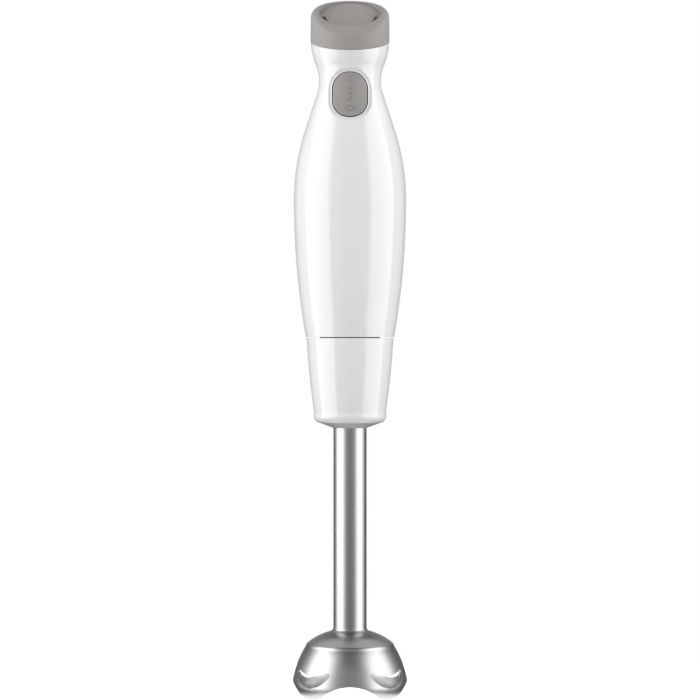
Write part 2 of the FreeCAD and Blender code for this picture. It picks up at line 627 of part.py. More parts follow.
def switch_body():
    """The switch, with the hole that its plunger slides in."""
    block = box("switch_block", ("-switch_half_width", "-switch_front", "switch_bottom"),
                ("switch_half_width", "-switch_back", "switch_top"))
    hole = rod("switch_hole", "plunger_radius + running_clearance", ("0", "-switch_front", "button_height"),
               (0, 1, 0), "plunger_depth")
    return combined("Cut", "switch_body", block, hole)


def coil(name, radius, wire, turns, start, along, length):
    """A helical spring from a point, along a direction, of plain round wire."""
    pitch = length / turns
    helix = Part.Wire(Part.makeHelix(pitch, length, radius))
    lead = Vec(0, 2 * math.pi * radius, pitch)
    section = Part.Wire(Part.makeCircle(wire, Vec(radius, 0, 0), lead))
    made = doc.addObject("Part::Feature", name)
    made.Shape = helix.makePipeShell([section], True, True)
    made.Placement = FreeCAD.Placement(start, FreeCAD.Rotation(Vec(0, 0, 1), along))
    made.Label = name
    return made


def button_spring():
    radius, wire, turns = size("spring_coil_radius"), size("spring_wire"), size("spring_turns")
    length = size("spring_front - switch_front - 2 * (spring_wire + spring_end_gap)")
    start = Vec(0, -size("spring_front - spring_wire - spring_end_gap"), size("button_height"))
    return coil("button_spring", radius, wire, turns, start, Vec(0, 1, 0), length)


def switch_board():
    front = "-switch_back + board_gap"
    return box("switch_board", ("-board_half_width", front, "board_bottom"),
               ("board_half_width", f"{front} + board_thickness", "board_top"))


def coupling_housing():
    """The spigot that the foot pushes on to, with a flange, a seal groove and three keys."""
    body = turned("coupling_housing", [
        ("spigot_inner_radius", "spigot_bottom"), ("spigot_radius - hub_chamfer", "spigot_bottom"),
        ("spigot_radius", "spigot_bottom + 2 * hub_chamfer"), ("spigot_radius", "seal_groove_bottom"),
        ("seal_groove_radius", "seal_groove_bottom"), ("seal_groove_radius", "seal_groove_top"),
        ("spigot_radius", "seal_groove_top"), ("spigot_radius", "flange_bottom"),
        ("flange_radius", "flange_bottom"), ("flange_radius", "flange_top"),
        ("upstand_outer_radius", "flange_top"), ("upstand_outer_radius", "upstand_top"),
        ("upstand_inner_radius", "upstand_top"), ("upstand_inner_radius", "flange_top"),
        ("web_hole_radius", "flange_top"), ("web_hole_radius", "web_bottom"),
        ("spigot_inner_radius", "web_bottom")])
    key = new_sketch(body, "XY_Plane", lift="key_bottom")
    draw_box(key, "-key_width / 2", "-key_radius", "key_width / 2", "-(spigot_radius - 0.5)")
    made = feature(body, "Pad", key, Length="flange_bottom - key_bottom")
    repeat(body, made, KEYS)
    return body


def spigot_seal():
    """The rubber ring in the spigot's groove, which grips the foot."""
    middle = "(seal_groove_bottom + seal_groove_top) / 2"
    wire = "((liner_inner_radius - seal_groove_radius) / 2 - fit_gap)"
    body = new_body("spigot_seal")
    sketch = new_sketch(body, "XZ_Plane")
    draw_circle(sketch, wire, f"seal_groove_radius + fit_gap + {wire}", middle)
    feature(body, "Revolution", sketch, Angle=360)
    return body


def lower_bracket():
    """The motor's lower end bracket: a bearing seat, air windows and two threaded holes."""
    top = "(bracket_bottom + bracket_thickness)"
    body = turned("lower_bracket", [
        ("bearing_lip_radius", "bracket_bottom"), ("lower_bracket_radius", "bracket_bottom"),
        ("lower_bracket_radius", top), ("bearing_radius + fit_gap", top),
        ("bearing_radius + fit_gap", "bracket_bottom + bearing_lip"),
        ("bearing_lip_radius", "bracket_bottom + bearing_lip")])
    open_bracket(body, top, "lower_bracket_radius", "tie_radius + running_clearance")
    return body


def upper_bracket():
    """The motor's upper end bracket, with its bearing lip on top."""
    top = "(upper_bracket_bottom + bracket_thickness)"
    seat = "bearing_radius + fit_gap"
    body = turned("upper_bracket", [
        (seat, "upper_bracket_bottom"), ("upper_bracket_radius", "upper_bracket_bottom"),
        ("upper_bracket_radius", top), ("bearing_lip_radius", top),
        ("bearing_lip_radius", f"{top} - bearing_lip"), (seat, f"{top} - bearing_lip")])
    open_bracket(body, top, "upper_bracket_radius", "tie_radius + tie_clearance")
    return body


def open_bracket(body, top, radius, hole):
    """Air windows on the diagonals, and the two tie screw holes."""
    window = new_sketch(body, "XY_Plane", lift=top)
    draw_slot_sector(window, "bearing_radius + bracket_rim", f"{radius} - bracket_rim",
                     "bracket_window_start", "bracket_window_end", 1)
    repeat(body, feature(body, "Pocket", window, Type="ThroughAll"), 4)
    holes = new_sketch(body, "XY_Plane", lift=top)
    draw_circle(holes, hole, "tie_spacing", "0")
    draw_circle(holes, hole, "-tie_spacing", "0")
    feature(body, "Pocket", holes, Type="ThroughAll")


def bearing(name, bottom):
    """A ball bearing as one solid: two races joined by the ball cage, with a groove on each face."""
    top = f"({bottom} + bracket_thickness - 2 * (bearing_lip + fit_gap))"
    bore, outer = "(shaft_radius + running_clearance)", "bearing_radius"
    near, far = "shaft_radius + race_width", "bearing_radius - race_width"
    low_groove, top_groove = f"{bottom} + race_groove", f"{top} - race_groove"
    return turned(name, [
        (bore, bottom), (near, bottom), (near, low_groove), (far, low_groove), (far, bottom), (outer, bottom),
        (outer, top), (far, top), (far, top_groove), (near, top_groove), (near, top), (bore, top)])


def stator_core():
    """The field laminations: a ring with two pole pieces that face the rotor at the front and back."""
    def draw(sketch):
        draw_circle(sketch, "stator_radius")
        draw_circle(sketch, "yoke_inner_radius")
        for side in (-1, 1):
            draw_circle(sketch, "tie_radius + tie_clearance", f"{side} * tie_spacing", "0")
    body = slab("stator_core", "core_bottom", "core_height", draw)
    for side in (-1, 1):
        pole = new_sketch(body, "XY_Plane", lift="core_bottom")
        near, far = f"{side} * (shoe_inner_radius + 1)", f"{side} * (yoke_inner_radius + 1)"
        draw_box(pole, "-pole_half_width", near, "pole_half_width", far)
        shoe = new_sketch(body, "XY_Plane", lift="core_bottom")
        edge_x, edge_y = "sin(shoe_half_angle)", f"{side} * cos(shoe_half_angle)"
        inner, outer = "shoe_inner_radius", "shoe_outer_radius"
        draw_outline(shoe, [
            (f"-{inner} * {edge_x}", f"{inner} * {edge_y}", inner, side * LEFT),
            (f"-{outer} * {edge_x}", f"{outer} * {edge_y}"),
            (f"{outer} * {edge_x}", f"{outer} * {edge_y}", outer, -side * LEFT),
            (f"{inner} * {edge_x}", f"{inner} * {edge_y}")])
        feature(body, "Pad", pole, Length="core_height")
        feature(body, "Pad", shoe, Length="core_height")
    return body


def field_coils():
    """The two field windings, each a bent frame around its pole piece."""
    gap = "coil_clearance"
    layer = ring("field_coil_layer", f"shoe_outer_radius + {gap}", f"yoke_inner_radius - {gap}",
                 "core_bottom - 2 * coil_thickness", "core_bottom + core_height + 2 * coil_thickness")
    width, far = "(pole_half_width + coil_thickness)", "yoke_inner_radius"
    outside = box("field_coil_outside", (f"-{width}", f"-{far}", "core_bottom - coil_thickness"),
                  (width, "0", "core_bottom + core_height + coil_thickness"))
    inside = box("field_coil_inside", (f"-(pole_half_width + {gap})", f"-{far}", f"core_bottom - {gap}"),
                 (f"pole_half_width + {gap}", "0", f"core_bottom + core_height + {gap}"))
    frame = combined("Cut", "field_coil_frame", outside, inside)
    one = combined("Common", "field_coil_one", layer, frame)
    return on_both_sides("field_coils", one, Vec(0, 1, 0))


def rotor_core():
    """The rotor's laminations with twelve open slots."""
    top = "core_bottom + core_height"
    body = ring("rotor_core", PRESSED_BORE, "rotor_radius", "core_bottom", top)
    slot = new_sketch(body, "XY_Plane", lift=top)
    draw_box(slot, "-slot_width / 2", "slot_bottom_radius", "slot_width / 2", "rotor_radius + 1")
    repeat(body, feature(body, "Pocket", slot, Type="ThroughAll"), ROTOR_SLOTS)
    return body


def rotor_winding():
    """The rotor's wire: a bar in each slot, joined by the end turns above and below the core."""
    core_top = "(core_bottom + core_height)"
    low, top = "(core_bottom - winding_end)", f"({core_top} + winding_end)"
    near, far = "winding_inner_radius", "winding_radius"
    body = turned("rotor_winding", [
        (near, low), (f"{far} - winding_round", low), (far, "core_bottom - winding_round"),
        (far, "core_bottom - winding_gap"), (near, "core_bottom - winding_gap")])
    slot_bar = new_sketch(body, "XY_Plane", lift="core_bottom - winding_round")
    half = "(slot_width / 2 - winding_gap)"
    draw_box(slot_bar, f"-{half}", "slot_bottom_radius + winding_gap", half, far)
    repeat(body, feature(body, "Pad", slot_bar, Length="core_height + 2 * winding_round"), ROTOR_SLOTS)
    crown = new_sketch(body, "XZ_Plane")
    draw_outline(crown, [
        (near, f"{core_top} + winding_gap"), (far, f"{core_top} + winding_gap"),
        (far, f"{core_top} + winding_round"), (f"{far} - winding_round", top), (near, top)])
    feature(body, "Revolution", crown, Angle=360)
    return body


def commutator():
    """The copper commutator with grooves between its bars."""
    top = "commutator_bottom + commutator_height"
    body = ring("commutator", PRESSED_BORE, "commutator_radius", "commutator_bottom", top)
    groove = new_sketch(body, "XY_Plane", lift=top)
    draw_box(groove, "-bar_gap / 2", "commutator_radius - bar_depth", "bar_gap / 2", "commutator_radius + 1")
    repeat(body, feature(body, "Pocket", groove, Type="ThroughAll"), COMMUTATOR_BARS)
    return body


def cooling_fan():
    """The fan on the motor shaft: a hub, a plate and straight vanes."""
    plate_top, top = "fan_bottom + fan_plate", "fan_bottom + fan_height"
    body = turned("cooling_fan", [
        (PRESSED_BORE, "fan_bottom"), ("fan_radius", "fan_bottom"), ("fan_radius", plate_top),
        ("fan_hub_radius", plate_top), ("fan_hub_radius", top), (PRESSED_BORE, top)])
    vane = new_sketch(body, "XY_Plane", lift="fan_bottom + fan_plate / 2")
    tip = "fan_radius - vane_gap"
    draw_box(vane, "-vane_width / 2", "fan_hub_radius - vane_width", "vane_width / 2", tip)
    repeat(body, feature(body, "Pad", vane, Length="fan_height - fan_plate / 2 - vane_gap"), FAN_VANES)
    return body


def brush_holders():
    """The two brush holders, each a tube of square section with a closed outer end."""
    width = "(brush_half_width + holder_wall)"
    outside = box("brush_holder_block", (f"-{width}", "-holder_outer_end", "brush_bottom - holder_wall"),
                  (width, "-holder_inner_end", "upper_bracket_bottom - brush_clearance"))
    half = "(brush_half_width + brush_clearance)"
    inside = box("brush_holder_channel",
                 (f"-{half}", "-holder_outer_end + holder_wall", "brush_bottom - brush_clearance"),
                 (half, "-holder_inner_end + 1", "brush_top + brush_clearance"))
    one = combined("Cut", "brush_holder_one", outside, inside)
    return on_both_sides("brush_holders", one, Vec(0, 1, 0))


def carbon_brushes():
    near = "(commutator_radius + brush_gap)"
    one = box("carbon_brush_one", ("-brush_half_width", f"-({near} + brush_length)", "brush_bottom"),
              ("brush_half_width", f"-{near}", "brush_top"))
    return on_both_sides("carbon_brushes", one, Vec(0, 1, 0))


def brush_springs():
    """The spring behind each brush."""
    wire, turns = size("brush_spring_wire"), size("brush_spring_turns")
    near = size("commutator_radius + brush_gap + brush_length + brush_spring_wire + fit_gap")
    far = size("holder_outer_end - holder_wall - brush_spring_wire - fit_gap")
    start = Vec(0, -near, size("(brush_bottom + brush_top) / 2"))
    radius = size("brush_half_width - brush_spring_wire - brush_clearance")
    one = coil("brush_spring_one", radius, wire, turns, start, Vec(0, -1, 0), far - near)
    return on_both_sides("brush_springs", one, Vec(0, 1, 0))


def motor_ties():
    """The two long screws that hold the brackets and the field together."""
    top, end = "(upper_bracket_bottom + bracket_thickness)", "(bracket_bottom + tie_end_gap)"
    shank = rod("motor_tie_shank", "tie_radius", ("tie_spacing", "0", end), (0, 0, 1), f"{top} - {end}")
    head = rod("motor_tie_head", "tie_head_radius", ("tie_spacing", "0", top), (0, 0, 1), "tie_head_height")
    one = combined("MultiFuse", "motor_tie_one", shank, head)
    return on_both_sides("motor_ties", one, Vec(1, 0, 0))


def draw_hexagon(sketch, radius):
    draw_outline(sketch, [(f"({radius}) * cos({turn})", f"({radius}) * sin({turn})")
                          for turn in range(0, 360, 60)])


def drive_coupling():
    """The socket on the motor shaft that turns the foot's drive."""
    body = turned("drive_coupling", [
        ("0", "coupling_bottom"), ("coupling_radius", "coupling_bottom"), ("coupling_radius", "socket_top"),
        ("coupling_end_radius", "coupling_top"), ("0", "coupling_top")])
    socket = new_sketch(body, "XY_Plane", lift="coupling_bottom")
    draw_hexagon(socket, "hex_radius + hex_clearance")
    feature(body, "Pocket", socket, Length="socket_top - coupling_bottom", Reversed=True)
    bore = new_sketch(body, "XY_Plane", lift="coupling_top")
    draw_circle(bore, PRESSED_BORE)
    feature(body, "Pocket", bore, Length="coupling_top - shaft_bottom + bore_end_gap")
    return body


def driven_coupling():
    """The hexagonal driver on top of the foot's shaft."""
    body = turned("driven_coupling", [
        ("0", "hub_bottom"), ("hub_radius - hub_chamfer", "hub_bottom"),
        ("hub_radius", "hub_bottom + hub_chamfer"), ("hub_radius", "hex_shoulder - hub_chamfer"),
        ("hub_radius - hub_chamfer", "hex_shoulder"), ("0", "hex_shoulder")])
    head = new_sketch(body, "XY_Plane", lift="hex_shoulder - hub_chamfer")
    draw_hexagon(head, "hex_radius")
    feature(body, "Pad", head, Length="hex_top - hex_shoulder + hub_chamfer")
    bore = new_sketch(body, "XY_Plane", lift="hub_bottom")
    draw_circle(bore, PRESSED_BORE)
    feature(body, "Pocket", bore, Length="drive_shaft_top - hub_bottom + bore_end_gap", Reversed=True)
    return body


def foot_collar():
    """The white cup at the top of the foot."""
    wall = "collar_wall"
    return turned("foot_collar", [
        (TUBE_HOLE, "collar_bottom"), ("collar_edge_radius", "collar_edge_height"),
        ("collar_corner_radius", "collar_corner_height", "collar_corner_arc", LEFT),
        ("collar_top_radius", "seam_height", "collar_side_arc", LEFT),
        (f"collar_top_radius - {wall}", "seam_height"),
        (f"collar_corner_radius - {wall}", f"collar_corner_height + {wall} / 2", "collar_side_arc", RIGHT),
        (f"collar_edge_radius - {wall}", f"collar_edge_height + {wall}"),
        (TUBE_HOLE, f"collar_bottom + {wall}")])


def foot_liner():
    """The socket inside the collar: it holds the tube, and takes the spigot and its three keys."""
    rim_bottom = "(liner_top - liner_flange)"
    body = turned("foot_liner", [
        (TUBE_HOLE, "liner_bottom"), ("liner_base_radius", "liner_bottom"),
        ("liner_foot_radius", "liner_foot_start"), ("liner_foot_radius", "liner_foot_end"),
        ("liner_outer_radius", "liner_cup_start"), ("liner_outer_radius", rim_bottom),
        ("liner_flange_radius", rim_bottom), ("liner_flange_radius", "liner_top"),
        ("liner_inner_radius", "liner_top"), ("liner_inner_radius", "liner_floor"),
        (TUBE_HOLE, "liner_floor")])
    slot = new_sketch(body, "XY_Plane", lift="liner_top")
    half = "(key_width / 2 + key_clearance)"
    draw_box(slot, f"-{half}", "-(key_radius + key_clearance)", half, "-(liner_inner_radius - 1)")
    repeat(body, feature(body, "Pocket", slot, Length="liner_top - key_bottom + 1"), KEYS)
    return body


def tube_bush(name, bottom, top, clearance="running_clearance"):
    return ring(name, f"shaft_radius + {clearance}", "tube_radius - tube_wall - fit_gap", bottom, top)


def shaft_tube():
    return ring("shaft_tube", "tube_radius - tube_wall", "tube_radius", "tube_bottom", "tube_top")


def blade_guard():
    """The bell-shaped steel guard: a dome, a skirt, four rim arches and a crescent window over each lobe."""
    sheet = "guard_sheet"
    dome_inner = (f"guard_dome_radius - {sheet} / 2", f"guard_dome_height - {sheet}")
    body = turned("blade_guard", [
        (TUBE_HOLE, f"guard_neck_height - {sheet}"),
        (f"guard_neck_radius + {sheet} / 2", f"guard_neck_height - {sheet}"),
        (*dome_inner, f"guard_dome_arc - {sheet}", RIGHT),
        (f"guard_shoulder_radius - {sheet}", f"guard_shoulder_height - {sheet} / 2",
         f"guard_shoulder_arc - {sheet} / 2", RIGHT),
        (f"guard_skirt_radius - {sheet}", "guard_skirt_height", f"guard_skirt_arc - {sheet}", RIGHT),
        (f"guard_rim_radius - {sheet}", "0", f"guard_rim_arc - {sheet}", RIGHT),
        ("guard_rim_radius", "0"),
        ("guard_skirt_radius", "guard_skirt_height", "guard_rim_arc", LEFT),
        ("guard_shoulder_radius", "guard_shoulder_height", "guard_skirt_arc", LEFT),
        ("guard_dome_radius", "guard_dome_height", "guard_shoulder_arc", LEFT),
        ("guard_neck_radius", "guard_neck_height", "guard_dome_arc", LEFT),
        (TUBE_HOLE, "guard_neck_top", "guard_neck_arc", RIGHT)])
    cut_arches(body)
    cut_windows(body)
    return body


def cut_arches(body):
    """Four rim arches: a crown arc that runs into a flare at each side, which meets the rim level."""
    angle = "(2 * atan(arch_height / arch_half_width))"
    flare = f"(arch_half_width / sin({angle}) - arch_crown_arc)"
    meet = (f"arch_crown_arc * sin({angle})", f"arch_height - arch_crown_arc * (1 - cos({angle}))")
    sketch = new_sketch(body, "XZ_Plane")
    draw_outline(sketch, [
        ("-arch_half_width", "-arch_height"), ("arch_half_width", "-arch_height"), ("arch_half_width", "0"),
        (*meet, flare, RIGHT), (f"-{meet[0]}", meet[1], "arch_crown_arc", LEFT),
        ("-arch_half_width", "0", flare, RIGHT)])
    arches = feature(body, "Pocket", sketch, Type="ThroughAll", Midplane=True)
    repeat(body, arches, RIM_LOBES)


def cut_windows(body):
    """Four crescent windows, one over each lobe of the rim."""
    sketch = new_sketch(body, "XZ_Plane", turn=(Vec(0, 1, 0), "45"))
    draw_outline(sketch, [
        ("window_half_width", "window_end_height", "window_low_arc", LEFT),
        ("window_shoulder", "window_shoulder_height", "window_end_arc", LEFT),
        ("-window_shoulder", "window_shoulder_height", "window_high_arc", RIGHT),
        ("-window_half_width", "window_end_height", "window_end_arc", LEFT)])
    windows = feature(body, "Pocket", sketch, Type="ThroughAll", Midplane=True)
    repeat(body, windows, RIM_LOBES)


def guard_hub():
    """The plastic hub under the dome that holds the shaft seal."""
    return turned("guard_hub", [
        ("guard_hub_bore", "seal_top"), ("seal_radius + fit_gap", "seal_top"),
        ("seal_radius + fit_gap", "guard_hub_bottom"), ("guard_hub_radius - hub_chamfer", "guard_hub_bottom"),
        ("guard_hub_radius", "guard_hub_bottom + hub_chamfer"), ("guard_hub_radius", "guard_hub_top"),
        ("guard_hub_boss_radius", "guard_hub_top"), ("guard_hub_boss_radius", "guard_hub_boss"),
        ("guard_hub_bore", "guard_hub_boss")])


def shaft_seal():
    """The rubber lip seal around the drive shaft."""
    bore, wall = "(shaft_radius + running_clearance)", "seal_radius - seal_wall"
    groove, top = "seal_bottom + seal_wall", "seal_top - fit_gap"
    return turned("shaft_seal", [
        (bore, "seal_bottom"), ("shaft_radius + seal_lip", "seal_bottom"),
        ("shaft_radius + seal_wall", groove), (wall, groove), (wall, "seal_bottom"),
        ("seal_radius", "seal_bottom"), ("seal_radius", top),
        ("shaft_radius + seal_wall", top), (bore, "(seal_bottom + seal_top) / 2")])


def shaft(name, bottom, top):
    """A round shaft with chamfered ends."""
    end = "shaft_radius - shaft_chamfer"
    return turned(name, [
        ("0", bottom), (end, bottom), ("shaft_radius", f"{bottom} + shaft_chamfer"),
        ("shaft_radius", f"{top} - shaft_chamfer"), (end, top), ("0", top)])


def blade():
    """The stamped blade: a flat pair of wings, and a crossing pair whose tips are bent down."""
    low = "(blade_top - blade_thickness)"
    body = new_body("blade")
    bent = new_sketch(body, "XZ_Plane")
    tip_low, tip_top = f"{low} - blade_tip_drop", "blade_top - blade_tip_drop"
    draw_outline(bent, [
        ("-blade_bend", low), ("-blade_reach", tip_low), ("-blade_reach", tip_top),
        ("-blade_bend", "blade_top"), ("blade_bend", "blade_top"), ("blade_reach", tip_top),
        ("blade_reach", tip_low), ("blade_bend", low)])
    feature(body, "Pad", bent, Length="2 * blade_half_width", Midplane=True)
    flat = new_sketch(body, "XY_Plane", lift=low)
    side, tip = "blade_half_width", "blade_half_width / 2"
    draw_outline(flat, [
        (tip, "-blade_reach"), (side, "-blade_bend"), (side, "blade_bend"),
        (f"-{tip}", "blade_reach"), (f"-{side}", "blade_bend"), (f"-{side}", "-blade_bend")])
    feature(body, "Pad", flat, Length="blade_thickness")
    hole = new_sketch(body, "XY_Plane", lift="blade_top")
    draw_circle(hole, PRESSED_BORE)
    feature(body, "Pocket", hole, Type="ThroughAll")
    return body


def blade_nut():
    """The closed nut under the blade."""
    top = "(blade_top - blade_thickness - fit_gap)"
    body = slab("blade_nut", "nut_bottom", f"{top} - nut_bottom",
                lambda sketch: draw_hexagon(sketch, "nut_radius"))
    bore = new_sketch(body, "XY_Plane", lift=top)
    draw_circle(bore, PRESSED_BORE)
    feature(body, "Pocket", bore, Length=f"{top} - drive_shaft_bottom + fit_gap")
    return body


def shaft_clip():
    """The open spring clip that holds the drive shaft up."""
    top = "clip_bottom + clip_thickness"
    body = ring("shaft_clip", PRESSED_BORE, "clip_radius", "clip_bottom", top)
    mouth = new_sketch(body, "XY_Plane", lift=top)
    draw_box(mouth, "-clip_mouth / 2", "0", "clip_mouth / 2", "clip_radius + 1")
    feature(body, "Pocket", mouth, Type="ThroughAll")
    return body


def mount_rings():
    """The two rubber rings that hold the motor: one on the spigot's upstand, one round the upper bracket."""
    lower = ring("lower_mount_ring", "upstand_inner_radius - ring_lip", "upstand_outer_radius + ring_lip",
                 "upstand_top + fit_gap", "upstand_top + mount_ring_thickness")
    upper = ring("upper_mount_ring", "upper_bracket_radius + ring_gap", "upper_ring_radius",
                 "upper_bracket_bottom + ring_lip", "upper_bracket_bottom + bracket_thickness - ring_lip")
    return lower, upper


SUB_PARTS = [
    front_housing(), rear_housing(), housing_screws(), top_cap(), cap_insert(), cord_inlet(),
    press_button(), button_spring(), switch_plunger(), switch_body(), switch_board(),
    coupling_housing(), spigot_seal(), lower_bracket(), upper_bracket(), motor_ties(),
    *mount_rings(),
    bearing("lower_bearing", "(bracket_bottom + bearing_lip + fit_gap)"),
    bearing("upper_bearing", "(upper_bracket_bottom + bearing_lip - fit_gap)"),
    stator_core(), field_coils(), brush_holders(), carbon_brushes(), brush_springs(),
    shaft("motor_shaft", "shaft_bottom", "shaft_top"),
    rotor_core(), rotor_winding(), commutator(), cooling_fan(), drive_coupling(),
    foot_collar(), foot_liner(), shaft_tube(), blade_guard(), guard_hub(), shaft_seal(),
    tube_bush("lower_bush", "lower_bush_bottom", "lower_bush_top"),
    tube_bush("shaft_guide", "guide_bottom", "guide_top", "guide_clearance"),
    tube_bush("upper_bush", "upper_bush_bottom", "upper_bush_top"),
    shaft("drive_shaft", "drive_shaft_bottom", "drive_shaft_top"),
    driven_coupling(), blade(), blade_nut(), shaft_clip(),
    ring("blade_spacer", PRESSED_BORE, "spacer_radius", "spacer_bottom", "spacer_top"),
]

doc.recompute()
failed = [item.Name for item in doc.Objects if "Invalid" in item.State or "Error" in item.State]
if failed:
    raise SystemExit(f"failed objects: {failed}")
os.makedirs("parts", exist_ok=True)
for part in SUB_PARTS:
    shape = part.Shape
    if shape.isNull() or not shape.isValid() or not shape.Solids:
        raise SystemExit(f"{part.Label}: bad shape")
    shape.exportStep(f"parts/{part.Label}.step")
    print(f"{part.Label:18s} {len(shape.Solids)} solids {shape.Volume:11.1f} mm3 {shape.BoundBox}")
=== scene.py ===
import json
import math

import bmesh
import bpy
import numpy as np
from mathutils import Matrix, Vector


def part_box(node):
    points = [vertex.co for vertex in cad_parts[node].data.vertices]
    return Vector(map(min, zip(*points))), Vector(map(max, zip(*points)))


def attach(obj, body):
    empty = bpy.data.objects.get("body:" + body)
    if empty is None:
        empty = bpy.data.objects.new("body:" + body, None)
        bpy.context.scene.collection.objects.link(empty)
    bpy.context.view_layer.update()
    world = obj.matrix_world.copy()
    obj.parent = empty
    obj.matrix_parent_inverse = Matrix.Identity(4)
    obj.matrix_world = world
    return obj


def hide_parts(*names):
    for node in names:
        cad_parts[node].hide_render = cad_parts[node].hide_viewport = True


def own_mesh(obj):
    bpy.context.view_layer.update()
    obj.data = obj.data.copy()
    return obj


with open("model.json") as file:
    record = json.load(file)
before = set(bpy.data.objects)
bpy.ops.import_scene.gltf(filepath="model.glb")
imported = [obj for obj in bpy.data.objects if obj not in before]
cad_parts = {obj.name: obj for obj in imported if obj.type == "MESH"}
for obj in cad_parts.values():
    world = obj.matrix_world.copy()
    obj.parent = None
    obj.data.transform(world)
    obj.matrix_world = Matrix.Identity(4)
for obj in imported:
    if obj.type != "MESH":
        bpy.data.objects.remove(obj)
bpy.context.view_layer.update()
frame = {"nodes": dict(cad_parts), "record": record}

# The looks of an immersion blender. The outer shells, the steel foot, the button and its spring are smooth
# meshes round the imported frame. Every other node keeps its mesh and gets a material. Metres, front at -Y.

MM = 0.001


def low(node, axis):
    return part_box(node)[0][axis]


def high(node, axis):
    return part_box(node)[1][axis]


X, Z = 0, 2

# Housing: heights and radii of the form that the two halves, the dish and the button share.
HOUSING_BOTTOM = low("front_housing", Z)
BELLY_RADIUS = high("front_housing", X)
BELLY_HEIGHT = 272.6 * MM
BELLY_LOW_ARC = 436.6 * MM
BELLY_HIGH_ARC = 122.8 * MM
NECK_RADIUS = 17.1 * MM
NECK_HEIGHT = 338.3 * MM
NECK_ARC = 21.5 * MM
HEAD_RADIUS = high("top_cap", X)
HEAD_HEIGHT = 362.0 * MM
HOUSING_WALL = 2.2 * MM
LIP_RADIUS = 20.4 * MM
LIP_START, LIP_HEIGHT = 0.1 * MM, 1.5 * MM

# Grid of a housing half: its columns, the loops round a hole, and how much of a margin the inside has.
HALF_COLUMNS = 72
SPREAD = 7
INNER_MARGIN = 0.3
BUTTON_BAND = (311.0 * MM, 347.0 * MM)
LOWER_SCREW_BAND = (201.0 * MM, 213.0 * MM)
UPPER_SCREW_BAND = (294.0 * MM, 306.0 * MM)

# Cap: a sloping seam, a sloping top with a crown along its slope, and a recess with a steeper floor.
SEAM_HEIGHT = 360.3 * MM
SEAM_TILT = math.radians(18.9)
SEAM_LINE = 0.16 * MM
TOP_HEIGHT, TOP_TILT = 372.72 * MM, math.radians(30.2)
TOP_CROWN, CROWN_REACH = 103.0 * MM, 24.0 * MM
CROWN_BELOW = math.sqrt(TOP_CROWN ** 2 - (CROWN_REACH / math.cos(TOP_TILT)) ** 2)
CROWN_Y, CROWN_Z = CROWN_BELOW * math.sin(TOP_TILT), TOP_HEIGHT - CROWN_BELOW * math.cos(TOP_TILT)
TOP_RADIUS = 21.4 * MM
TOP_LIMIT = 392.0 * MM
TOP_ROUND = 3.6 * MM
RECESS_RADIUS = 17.2 * MM
RECESS_HEIGHT, RECESS_TILT = 373.9 * MM, math.radians(33.0)
INSERT_THICKNESS = 1.7 * MM
INSERT_GAP = 0.15 * MM
DISH_SPHERE = 48.0 * MM
DISH_DEPTH = 1.1 * MM
VENT_INNER = 13.4 * MM
VENT_OUTER = 16.0 * MM
VENT_START, VENT_END = math.radians(50.0), math.radians(90.0)
VENT_DEPTH = 4.0 * MM
SKIRT_RADIUS = 17.2 * MM
SKIRT_DEPTH = 3.0 * MM
CAP_BORE = 13.9 * MM
LIP_GROOVE = [(1.15 * MM, 0.0), (0.95 * MM, 0.16 * MM), (0.7 * MM, 0.16 * MM), (0.5 * MM, 0.0)]
INLET_HOLE = 4.55 * MM
INLET_HEIGHT = 374.0 * MM
INLET_START, INLET_END = 13.0 * MM, 30.0 * MM

# Button, the dish round it, its spring and its marks.
BUTTON_MIDDLE = (low("button", Z) + high("button", Z)) / 2
BUTTON_HALF_WIDTH = 9.4 * MM
BUTTON_HALF_TALL = 12.25 * MM
BUTTON_CORNER = 8.9 * MM
BUTTON_GAP = 0.45 * MM
BUTTON_PROUD = 0.25 * MM
BUTTON_ROUND = 0.55 * MM
BUTTON_FLANGE = 1.9 * MM
BUTTON_FLANGE_FRONT = HOUSING_WALL + 0.35 * MM
BUTTON_FLANGE_BACK = HOUSING_WALL + 1.45 * MM
DISH_FLOOR = 0.7 * MM
DISH_RUN = [(0.0, 1.0), (0.35, 1.0), (0.9, 0.92), (1.3, 0.62), (1.7, 0.24), (2.1, 0.04), (2.6, 0.0)]
DISH_STEPS = [(BUTTON_GAP + out * MM, DISH_FLOOR * share) for out, share in DISH_RUN]
SPRING_RADIUS, SPRING_WIRE, SPRING_TURNS = 3.1 * MM, 0.35 * MM, 5
SPRING_FRONT, SPRING_BACK, SPRING_SEAT = -13.55 * MM, -9.45 * MM, -9.0 * MM
MARK_TALL, MARK_WIDE = 4.1 * MM, 2.3 * MM
MARK_ONE, MARK_ARROW, MARK_TWO, MARK_RING = 8.0 * MM, 3.6 * MM, -1.1 * MM, -7.6 * MM
MARK_RING_WIDE, MARK_RING_TALL = 2.7 * MM, 1.3 * MM
STROKE_SECTION = [(-1.0, -0.5), (-0.85, 0.55), (-0.4, 0.95), (0.0, 1.0),
                  (0.4, 0.95), (0.85, 0.55), (1.0, -0.5)]

# Screws in the back.
SCREW_HOLE = 2.4 * MM
SCREW_BOSS = 3.2 * MM
SCREW_BORE = 1.5 * MM
BOSS_FLOOR = 2.0 * MM
BOSS_SUNK = 0.9 * MM
SCREW_STEPS = [(0.0, 0.3 * MM), (0.3 * MM, 0.0), (0.7 * MM, 0.0)]
UPPER_SCREW_Z = 300.0 * MM
UPPER_SCREW_SEAT = 14.0 * MM
LOWER_SCREW_X = 17.8 * MM
LOWER_SCREW_Z = 207.0 * MM
LOWER_SCREW_SEAT = 7.0 * MM


# ---------------- profiles

